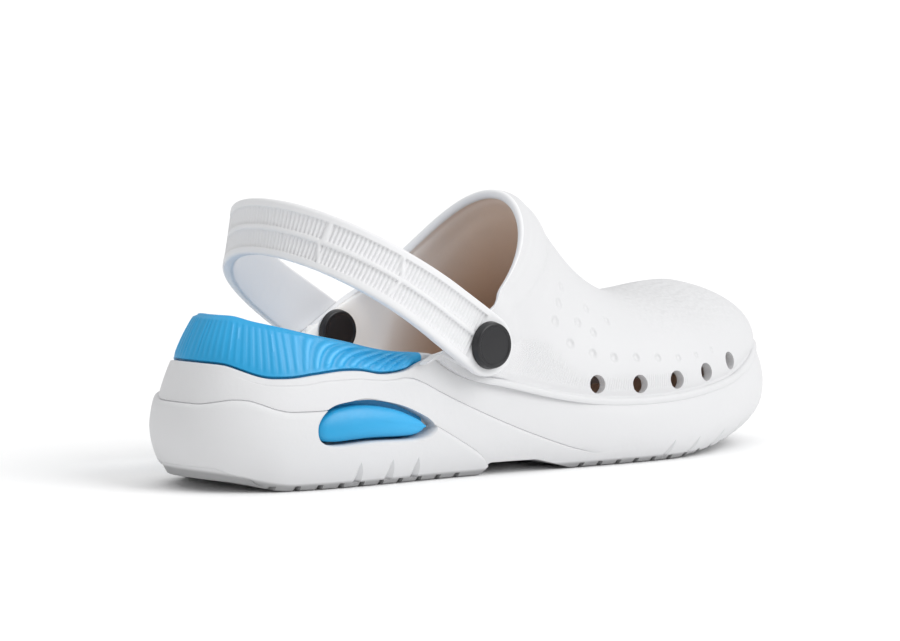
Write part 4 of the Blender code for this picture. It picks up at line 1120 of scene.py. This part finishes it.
def insert_mesh(material):
    steps = 300
    points, normals, along = ring_stations(steps)
    lateral = np.linspace(0, LATERAL.total, steps + 1)
    medial = np.linspace(0, MEDIAL.total, steps + 1)
    mark = np.concatenate([lateral, medial[-2:0:-1]])
    rim = rim_height(along)
    top_inset = side_inset(along, rim) + step_insets(along)[1]
    cavity = np.maximum(SIDE.at("inner_inset", along) * BALL_WIDTH, top_inset + 2 * MM) + GAP
    raised = 1 - smooth(0.315, 0.385, along)
    lipped = 1 - smooth(0.272, 0.294, along)
    floor = BED.at("floor", along) * SEAT_HEIGHT + GAP
    edge = BED.at("edge", along) * SEAT_HEIGHT
    middle = BED.at("middle", along) * SEAT_HEIGHT
    lip = top_inset + 1.1 * MM
    crest = BED.at("rim", along) / BED.at("rim", 0) * CUSHION_HEIGHT
    height = np.maximum(crest - rim, 2.5 * MM)
    lean = CUSHION_LEAN * height

    def mix(low, high):
        return low + (high - low) * raised

    crest_z = mix(edge + 0.5 * MM, crest)
    ledge_z = np.minimum(mix(edge - 1.2 * MM, np.maximum(rim + 2 * GAP, edge)), crest_z - 1 * MM)
    outer = cavity + (lip - cavity) * lipped
    wall = mix(4 * MM, CUSHION_WALL)
    under = ledge_z - GAP
    profile = [(cavity + 1 * MM, floor), (cavity, floor + 1 * MM), (cavity, under),
               (outer + 0.5 * MM * lipped, under + GAP * 0.8), (outer, ledge_z + 0.35 * MM)]
    rise = crest_z - ledge_z
    swells = {}
    for t in np.linspace(0.06, 0.93, 20):
        lean_at = mix(0.3 * MM * t, lean * (0.92 * t ** 1.15) - 0.3 * MM * math.sin(math.pi * t))
        swells[len(profile)] = ripple(mark, t, along)
        profile.append((outer + lean_at - swells[len(profile)], ledge_z + rise * t))
    soft = np.minimum(0.9 * MM, rise * 0.2)
    head = mix(0.3 * MM, lean)
    for angle in (25, 45, 65, 90):
        c, s = math.cos(math.radians(angle)), math.sin(math.radians(angle))
        profile.append((outer + head + soft * (1 - c), crest_z - soft * (1 - s)))
    brim = mix(2.0 * MM, wall - 1.6 * MM)
    profile += [(outer + head + brim * 0.5, crest_z - 0.05 * MM),
                (outer + head + brim, crest_z - mix(0.1 * MM, 0.4 * MM)),
                (outer + head + brim + 0.8 * MM, crest_z - mix(0.2 * MM, 1.2 * MM))]
    inside = cavity + mix(5 * MM, 5 * MM + lean * 0.4)
    from_x, from_z = outer + head + brim + 0.8 * MM, crest_z - mix(0.2 * MM, 1.2 * MM)
    for t in (0.15, 0.35, 0.55, 0.75, 0.9):
        bend = mix(0, 1.4 * MM) * math.sin(math.pi * t)
        profile.append((from_x + (inside - from_x) * t - bend * 0.4, from_z + (edge - from_z) * t - bend))
    profile += [(inside, edge), (cavity + 7.5 * MM, edge + (middle - edge) * 0.45),
                (cavity + 9.5 * MM, edge + (middle - edge) * 0.72),
                (cavity + 12 * MM, edge + (middle - edge) * 0.92), (cavity + 15 * MM, middle)]
    grid = [place(points, normals, inset, z) for inset, z in profile]
    count = len(points)
    faces = grid_faces(len(grid), count, wrap_columns=True)
    faces += [f[::-1] for f in across_faces(0, steps)]
    faces += across_faces((len(grid) - 1) * count, steps)
    item = mesh_object("heel_insert", np.vstack(grid), faces, material)
    swell = item.data.attributes.new("swell", "FLOAT", "POINT")
    swell.data.foreach_set("value", np.concatenate([
        swells.get(i, 0 * along) / MM for i in range(len(grid))]).astype(np.float32))
    outward_normals(item)
    return item


def lobe_mesh(name, side, material):
    """One window's bulging lobe: drawn-in copies of the window's outline, each further out."""
    rings = ((1.1, 9.0), (1.1, 3.4), (1.2, 2.9), (1.45, 2.5), (1.85, 2.15), (2.5, 1.85), (3.3, 1.6),
             (4.4, 1.4), (5.6, 1.25), (6.6, 1.17))
    points, faces = [], []
    centre = window_loop(0).mean(0)
    for inset, depth in rings:
        loop = window_loop(min(inset, 1.85) * MM)
        if inset > 1.85:
            loop = centre + (loop - centre) * (1 - (inset - 1.85) / 6.6)
        y = side_surface(loop[:, 0], loop[:, 1], side) - depth * MM
        back = 0.1 * MM + 1.7 * MM * smooth(-72 * MM, -52 * MM, loop[:, 0])
        down = 0.75 * MM * smooth(20 * MM, 27 * MM, loop[:, 1])
        points += [(x, side * v, z) for (x, z), v in zip(loop - np.column_stack([back, down]), y)]
    count = len(loop)
    faces += grid_faces(len(rings), count, wrap_columns=True)
    last = (len(rings) - 1) * count
    middle = len(points)
    y = side_surface(centre[0], centre[1], side) - 1.12 * MM
    points.append((centre[0], side * float(y), centre[1]))
    faces += [(last + i, last + (i + 1) % count, middle) for i in range(count)]
    faces.append(tuple(range(count))[::-1])
    item = mesh_object(name, points, faces, material)
    outward_normals(item)
    shade(item, 50)
    return item


def build_insert(material):
    insert = insert_mesh(material)
    shade(insert, 42)
    made = [finish_piece(insert, "insert_foam", "insole")]
    for side, name in ((-1, "insert_lobe_lateral"), (1, "insert_lobe_medial")):
        made.append(finish_piece(lobe_mesh(name, side, material), "insert_foam", "insole"))
    return made


# Strap
STRAP_PITCH = 1.5 * MM
BORDER = 2.5 * MM
DIVIDERS = ((56.2, 53.4, 53.4, 55.6), (81.5, 82.2, 83.2, 80.8))
STRAP_RELIEF = 0.95 * MM
STRAP_RIB = 0.62 * MM


def strap_path():
    """Centre of the loop in plan: places back of the rivets, and to the side."""
    half = EAR_HALF_WIDTH + GAP + STRAP_THICK / 2
    end = STRAP_WIDTH / 2
    straight = (STRAP_REACH - STRAP_TURN) / math.cos(STRAP_SLOPE)
    turn = STRAP_TURN / math.cos(STRAP_SLOPE)
    plan = [(-end, -half), (straight, -half)]
    for i in range(1, 48):
        angle = -math.pi / 2 + math.pi * i / 48
        swing = half * math.sin(angle) + STRAP_BOW * math.sin(2 * angle)
        plan.append((straight + turn * math.cos(angle), swing))
    plan += [(straight, half), (-end, half)]
    return resample(np.array(plan), 240)


def strap_frame(back, side):
    """Centre point and width direction at a place of the loop."""
    x = RIVET_X - back * math.cos(STRAP_SLOPE)
    z = RIVET_HEIGHT + back * math.sin(STRAP_SLOPE)
    rear = float(smooth(0.45, 1.0, back * math.cos(STRAP_SLOPE) / STRAP_REACH))
    lean = math.tan(STRAP_SLOPE) * (1 - rear) + STRAP_REAR_LEAN * rear
    return Vector((x, side, z)), Vector((lean, 0, 1)).normalized()


def strap_relief(mark, across, half, length):
    """How far the outer face lies under its border at a place along and across the strap."""
    end = STRAP_WIDTH / 2
    reach = mark if mark < length / 2 else length - mark
    upper = across > 0
    depth = smooth(0, 0.3 * MM, half - BORDER - abs(across)) * smooth(0, 0.25 * MM, abs(across) - 0.75 * MM)
    depth = depth * smooth(0, 0.4 * MM, reach - end - 5.5 * MM)
    for top, mid_top, mid_low, low in DIVIDERS:
        t = min(abs(across) / (half - BORDER), 1)
        at = (mid_top + (top - mid_top) * t if upper else mid_low + (low - mid_low) * t) * MM
        depth = depth * smooth(0.55 * MM, 0.9 * MM, abs(reach - at))
    rib = 0.5 + 0.5 * math.cos(2 * math.pi * mark / STRAP_PITCH)
    return depth * (STRAP_RELIEF - STRAP_RIB * rib ** 0.8)


def strap_section(half, scale):
    """Places across and through the strap round one closed section, outer face first."""
    inner_edge = half - BORDER * scale
    rows = [-half + 1.1 * MM * scale, -half + 1.6 * MM * scale, -inner_edge - 0.25 * MM * scale, -inner_edge,
            -inner_edge + 0.3 * MM * scale]
    low, high = -inner_edge + 0.3 * MM * scale, -1.0 * MM * scale
    rows += [low + (high - low) * t for t in (0.25, 0.5, 0.75, 1)]
    rows += [-0.75 * MM * scale]
    rows = rows + [0.0] + [-w for w in rows[::-1]]
    thick = STRAP_THICK / 2
    section = [(w, thick, True) for w in rows]
    soft = 1.1 * MM * scale
    for angle in (67.5, 45, 22.5, 0):
        c, s = math.cos(math.radians(angle)), math.sin(math.radians(angle))
        section.append((half - soft + soft * c, thick - soft + soft * s, False))
    for angle in (0, -22.5, -45, -67.5, -90):
        c, s = math.cos(math.radians(angle)), math.sin(math.radians(angle))
        section.append((half - soft + soft * c, -thick + soft + soft * s, False))
    section += [(half * t, -thick, False) for t in (0.5, 0, -0.5)]
    for angle in (-90, -67.5, -45, -22.5, 0):
        c, s = math.cos(math.radians(angle)), math.sin(math.radians(angle))
        section.append((-half + soft - soft * c, -thick + soft + soft * s, False))
    for angle in (0, 22.5, 45, 67.5):
        c, s = math.cos(math.radians(angle)), math.sin(math.radians(angle))
        section.append((-half + soft - soft * c, thick - soft + soft * s, False))
    return section


def strap_mesh(material):
    path = strap_path()
    travel = arc_lengths(path)
    length = travel[-1]
    end = STRAP_WIDTH / 2
    tips = [end * (1 - math.cos(a)) for a in np.linspace(0.12, math.pi / 2, 12)]
    step = STRAP_PITCH / 6
    between = list(np.arange(end + step, length - end - step / 2, step))
    marks = tips + between + [length - t for t in tips[::-1]]
    loops = []
    for mark in marks:
        back, side = (float(np.interp(mark, travel, path[:, i])) for i in (0, 1))
        ahead = [float(np.interp(mark + 1 * MM, travel, path[:, i])) for i in (0, 1)]
        behind = [float(np.interp(mark - 1 * MM, travel, path[:, i])) for i in (0, 1)]
        spot, width = strap_frame(back, side)
        run = strap_frame(*ahead)[0] - strap_frame(*behind)[0]
        outward = run.cross(width).normalized()
        if outward.dot(Vector((spot.x - LENGTH / 4, spot.y, 0))) < 0:
            outward = -outward
        width = outward.cross(run).normalized()
        if width.z < 0:
            width = -width
        tip = min(mark, length - mark)
        half = end if tip >= end else math.sqrt(max(end ** 2 - (end - tip) ** 2, 0))
        half += (STRAP_REAR_WIDTH - STRAP_WIDTH) / 2 * float(smooth(end, length * 0.35, tip))
        scale = min(1, half / (7 * MM))
        loop = []
        for w, t, outer in strap_section(half, scale):
            sunk = strap_relief(mark, w, half, length) if outer else 0
            loop.append(spot + width * w + outward * (t - sunk))
        loops.append(loop)
    count = len(loops[0])
    points = [p for loop in loops for p in loop]
    faces = grid_faces(len(loops), count, wrap_columns=True)
    faces += [tuple(range(count)), tuple(range(len(points) - count, len(points)))[::-1]]
    item = mesh_object("back_strap", points, faces, material)
    outward_normals(item)
    return item


def build_strap(material):
    strap = strap_mesh(material)
    cut(strap, rivet_hole_tool())
    shade(strap, 70)
    return finish_piece(strap, "strap_foam", "strap")


# Rivets
def turned_button(name, side, material):
    """A rivet head with a raised lip round a dished face, and its post."""
    bpy.ops.mesh.primitive_cylinder_add(vertices=96, radius=HEAD_RADIUS, depth=HEAD_THICK,
                                        location=(0, 0, HEAD_THICK / 2))
    button = bpy.context.object
    button.name = name
    bpy.ops.object.transform_apply(location=True, rotation=True, scale=True)
    bpy.ops.object.mode_set(mode="EDIT")
    pick(button, lambda middle, normal: normal.z > 0.9)
    bpy.ops.transform.resize(value=(0.93, 0.93, 1))
    bpy.ops.mesh.bevel(offset=0.55 * MM, segments=4, affect="EDGES")
    pick(button, lambda middle, normal: normal.z > 0.98 and middle.xy.length < 1 * MM)
    bpy.ops.mesh.inset(thickness=0.45 * MM)
    bpy.ops.mesh.inset(thickness=0.3 * MM, depth=-0.3 * MM)
    bpy.ops.mesh.inset(thickness=2.6 * MM, depth=0.12 * MM)
    bpy.ops.mesh.inset(thickness=2.2 * MM, depth=0.08 * MM)
    pick(button, lambda middle, normal: normal.z < -0.9)
    bpy.ops.mesh.inset(thickness=HEAD_RADIUS - POST_RADIUS)
    post = STRAP_THICK + UPPER_WALL + 3 * GAP + CAP_THICK * 0.5
    bpy.ops.mesh.extrude_region_move(TRANSFORM_OT_translate={"value": (0, 0, -post)})
    bpy.ops.mesh.inset(thickness=0.5 * MM, depth=0.4 * MM)
    bpy.ops.object.mode_set(mode="OBJECT")
    head = EAR_HALF_WIDTH + GAP + STRAP_THICK + GAP
    button.data.transform(Matrix.Translation((RIVET_X, side * head, RIVET_HEIGHT))
                          @ Matrix.Rotation(-side * math.pi / 2, 4, "X"))
    button.data.materials.append(material)
    shade(button, 35)
    return button


def turned_cap(name, side, material):
    """A rivet's back cap, whose blind socket takes the post."""
    bpy.ops.mesh.primitive_cylinder_add(vertices=96, radius=CAP_RADIUS, depth=CAP_THICK,
                                        location=(0, 0, CAP_THICK / 2))
    cap = bpy.context.object
    cap.name = name
    bpy.ops.object.transform_apply(location=True, rotation=True, scale=True)
    bpy.ops.object.mode_set(mode="EDIT")
    pick(cap, lambda middle, normal: normal.z > 0.9)
    bpy.ops.transform.resize(value=(0.94, 0.94, 1))
    bpy.ops.mesh.bevel(offset=0.6 * MM, segments=4, affect="EDGES")
    pick(cap, lambda middle, normal: normal.z > 0.98 and middle.xy.length < 1 * MM)
    bpy.ops.mesh.inset(thickness=0.5 * MM)
    bpy.ops.mesh.inset(thickness=0.3 * MM, depth=-0.22 * MM)
    bpy.ops.mesh.inset(thickness=3.4 * MM, depth=0.15 * MM)
    pick(cap, lambda middle, normal: normal.z < -0.9)
    bpy.ops.mesh.inset(thickness=CAP_RADIUS - POST_RADIUS - GAP)
    bpy.ops.mesh.extrude_region_move(TRANSFORM_OT_translate={"value": (0, 0, CAP_THICK * 0.7)})
    bpy.ops.object.mode_set(mode="OBJECT")
    place_at = EAR_HALF_WIDTH - UPPER_WALL - 1.5 * GAP
    cap.data.transform(Matrix.Translation((RIVET_X, side * place_at, RIVET_HEIGHT))
                       @ Matrix.Rotation(side * math.pi / 2, 4, "X"))
    cap.data.materials.append(material)
    shade(cap, 35)
    return cap


def build_rivets(material):
    made = []
    for side, name in ((-1, "lateral"), (1, "medial")):
        button = turned_button("button_" + name, side, material)
        made.append(finish_piece(button, "rivet_plastic", "rivet_button_" + name))
        cap = turned_cap("cap_" + name, side, material)
        made.append(finish_piece(cap, "rivet_plastic", "rivet_cap_" + name))
    return made


# Stage
def build_stage(looks):
    scene = bpy.context.scene
    bpy.ops.mesh.primitive_plane_add(size=30, location=(0, 0, -0.2 * MM))
    floor = bpy.context.object
    floor.name = "studio_floor"
    bpy.ops.object.mode_set(mode="EDIT")
    bpy.ops.mesh.subdivide(number_cuts=1)
    bpy.ops.object.mode_set(mode="OBJECT")
    floor.data.materials.append(floor_finish(looks.floor_brightness))
    world = bpy.data.worlds.new("studio")
    scene.world = world
    world.use_nodes = True
    nodes, links = world.node_tree.nodes, world.node_tree.links
    lit = nodes["Background"]
    lit.inputs["Color"].default_value = (1, 1, 1, 1)
    lit.inputs["Strength"].default_value = looks.fill_light
    seen = nodes.new("ShaderNodeBackground")
    seen.inputs["Color"].default_value = (1, 1, 1, 1)
    seen.inputs["Strength"].default_value = 1.05
    choice = nodes.new("ShaderNodeMixShader")
    links.new(nodes.new("ShaderNodeLightPath").outputs["Is Camera Ray"], choice.inputs["Fac"])
    links.new(lit.outputs["Background"], choice.inputs[1])
    links.new(seen.outputs["Background"], choice.inputs[2])
    links.new(choice.outputs["Shader"], nodes["World Output"].inputs["Surface"])
    for name, spot, spread, power in (("key_light", (0.35, -0.8, 0.66), 40, looks.key_light),
                                      ("top_light", (0.1, 0.1, 1.6), 100, looks.top_light)):
        lamp = bpy.data.lights.new(name, "SUN")
        lamp.angle = math.radians(spread)
        lamp.energy = power
        item = bpy.data.objects.new(name, lamp)
        scene.collection.objects.link(item)
        item.location = spot
        item.rotation_mode = "QUATERNION"
        item.rotation_quaternion = (Vector((0, 0, 0.03)) - Vector(spot)).to_track_quat("-Z", "Y")
    a, e, distance = math.radians(-40.99), math.radians(4.39), 1.1
    back = Vector((math.sin(a) * math.cos(e), -math.cos(a) * math.cos(e), math.sin(e)))
    right = Vector((math.cos(a), math.sin(a), 0))
    up = back.cross(right)
    lens = bpy.data.cameras.new("camera")
    lens.sensor_width = 36
    lens.lens = 3074 / 900 * 36
    lens.shift_x = (450 - 476.94) / 900
    lens.shift_y = (334.16 - 320.5) / 900
    lens.clip_start, lens.clip_end = 0.05, 30
    camera = bpy.data.objects.new("camera", lens)
    scene.collection.objects.link(camera)
    camera.matrix_world = (Matrix.Translation(Vector((0, 0, 0.045)) + back * distance)
                           @ Matrix((right, up, back)).transposed().to_4x4())
    scene.camera = camera
    scene.view_settings.view_transform = "Standard"


# The add-on's sizes and colours, pieces and panel
class ClogLooks(bpy.types.PropertyGroup):
    foam_colour: bpy.props.FloatVectorProperty(
        name="Foam", description="Colour of the white moulded foam", subtype="COLOR", size=3,
        min=0, max=1, default=(0.685, 0.687, 0.697))
    # Painted shade: the warm colour of the upper's inner face and the footbed deeper in, where the white foam lies
    # in shade.
    inner_shade_colour: bpy.props.FloatVectorProperty(
        name="Inside", description="Colour of the upper's inner face", subtype="COLOR", size=3,
        min=0, max=1, default=(0.80, 0.60, 0.46))
    insert_colour: bpy.props.FloatVectorProperty(
        name="Insert", description="Colour of the heel insert and its lobes", subtype="COLOR", size=3,
        min=0, max=1, default=(0.004, 0.325, 0.64))
    rivet_colour: bpy.props.FloatVectorProperty(
        name="Rivets", description="Colour of the rivets", subtype="COLOR", size=3,
        min=0, max=1, default=(0.010, 0.010, 0.012))
    grain: bpy.props.FloatProperty(
        name="Grain", description="Size of the foam's orange-peel grain", subtype="DISTANCE",
        min=0.0003, max=0.003, default=0.0011)
    detail_depth: bpy.props.FloatProperty(
        name="Upper's relief", description="Depth of the dimples and fine ribs of the upper",
        subtype="DISTANCE", min=0, max=0.002, default=0.00075)


class StageLooks(bpy.types.PropertyGroup):
    floor_brightness: bpy.props.FloatProperty(
        name="Floor", description="How pale the studio floor is", subtype="FACTOR",
        min=0, max=1, default=0.99)
    fill_light: bpy.props.FloatProperty(
        name="Fill", description="Brightness of the even light all round", min=0, max=5, default=0.56)
    key_light: bpy.props.FloatProperty(
        name="Key", description="Strength of the soft light from the toe's side", min=0, max=20, default=1.5)
    top_light: bpy.props.FloatProperty(
        name="Top", description="Strength of the soft light overhead", min=0, max=20, default=0.85)


class CLOG_OT_sole(bpy.types.Operator):
    """Build the sole with its tiers, windows, flutes and tread"""
    bl_idname = "clog.sole"
    bl_label = "Sole"

    def execute(self, context):
        looks = context.scene.clog_looks
        # The sole's foam carries the painted shade along its lower edge.
        build_sole(white_foam("sole_foam", looks.foam_colour, looks.grain, ground_shade=True))
        return {"FINISHED"}


class CLOG_OT_upper(bpy.types.Operator):
    """Build the hollow upper with its bead, ribs, dimples and vents"""
    bl_idname = "clog.upper"
    bl_label = "Upper"

    def execute(self, context):
        looks = context.scene.clog_looks
        foam = white_foam("upper_foam", looks.foam_colour, looks.grain, 0.3, looks.detail_depth)
        # The inner face's material paints light at the ears and shade further in.
        inner_painted = inner_painted_light_and_shade(looks.inner_shade_colour, looks.foam_colour, looks.grain)
        # Painted light: the rounded collar edge is the same white foam, painted 1.28 times lighter.
        edge = white_foam("collar_edge", tint(looks.foam_colour, 1.28), looks.grain, 0.2)
        build_upper(looks, foam, inner_painted, edge)
        return {"FINISHED"}


class CLOG_OT_insert(bpy.types.Operator):
    """Build the blue insert, its heel cushion and the lobes in the windows"""
    bl_idname = "clog.insert"
    bl_label = "Insert"

    def execute(self, context):
        looks = context.scene.clog_looks
        for piece in build_insert(insert_foam(
            looks.insert_colour, looks.inner_shade_colour, looks.foam_colour, looks.grain)):
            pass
        return {"FINISHED"}


class CLOG_OT_strap(bpy.types.Operator):
    """Build the back strap with its ribbed panels"""
    bl_idname = "clog.strap"
    bl_label = "Strap"

    def execute(self, context):
        looks = context.scene.clog_looks
        # Painted light: the strap is the same white foam as the body, painted 1.12 times lighter.
        build_strap(white_foam("strap_foam", tint(looks.foam_colour, 1.12), looks.grain, 0.15))
        return {"FINISHED"}


class CLOG_OT_rivets(bpy.types.Operator):
    """Build the two rivets, each a button and its back cap"""
    bl_idname = "clog.rivets"
    bl_label = "Rivets"

    def execute(self, context):
        build_rivets(rivet_plastic(context.scene.clog_looks.rivet_colour))
        return {"FINISHED"}


class CLOG_OT_stage(bpy.types.Operator):
    """Build the pale floor, the soft light and the camera"""
    bl_idname = "clog.stage"
    bl_label = "Stage"

    def execute(self, context):
        build_stage(context.scene.clog_stage)
        return {"FINISHED"}


class CLOG_PT_sidebar(bpy.types.Panel):
    """Pieces, sizes and colours of the clog"""
    bl_label = "Foam clog"
    bl_idname = "CLOG_PT_sidebar"
    bl_space_type = "VIEW_3D"
    bl_region_type = "UI"
    bl_category = "Clog"

    def draw(self, context):
        for group in (context.scene.clog_looks, context.scene.clog_stage):
            for name in group.bl_rna.properties.keys():
                if name not in ("rna_type", "name"):
                    self.layout.prop(group, name)
        for operator in OPERATORS:
            self.layout.operator(operator.bl_idname)


OPERATORS = (CLOG_OT_sole, CLOG_OT_upper, CLOG_OT_insert, CLOG_OT_strap, CLOG_OT_rivets, CLOG_OT_stage)
CLASSES = (ClogLooks, StageLooks, *OPERATORS, CLOG_PT_sidebar)


def register():
    for cls in CLASSES:
        bpy.utils.register_class(cls)
    bpy.types.Scene.clog_looks = bpy.props.PointerProperty(type=ClogLooks)
    bpy.types.Scene.clog_stage = bpy.props.PointerProperty(type=StageLooks)


def unregister():
    del bpy.types.Scene.clog_looks
    del bpy.types.Scene.clog_stage
    for cls in reversed(CLASSES):
        bpy.utils.unregister_class(cls)


def main():
    register()
    bpy.ops.clog.sole()
    bpy.ops.clog.upper()
    bpy.ops.clog.insert()
    bpy.ops.clog.strap()
    bpy.ops.clog.rivets()
    bpy.ops.clog.stage()


if __name__ == "__main__":
    main()
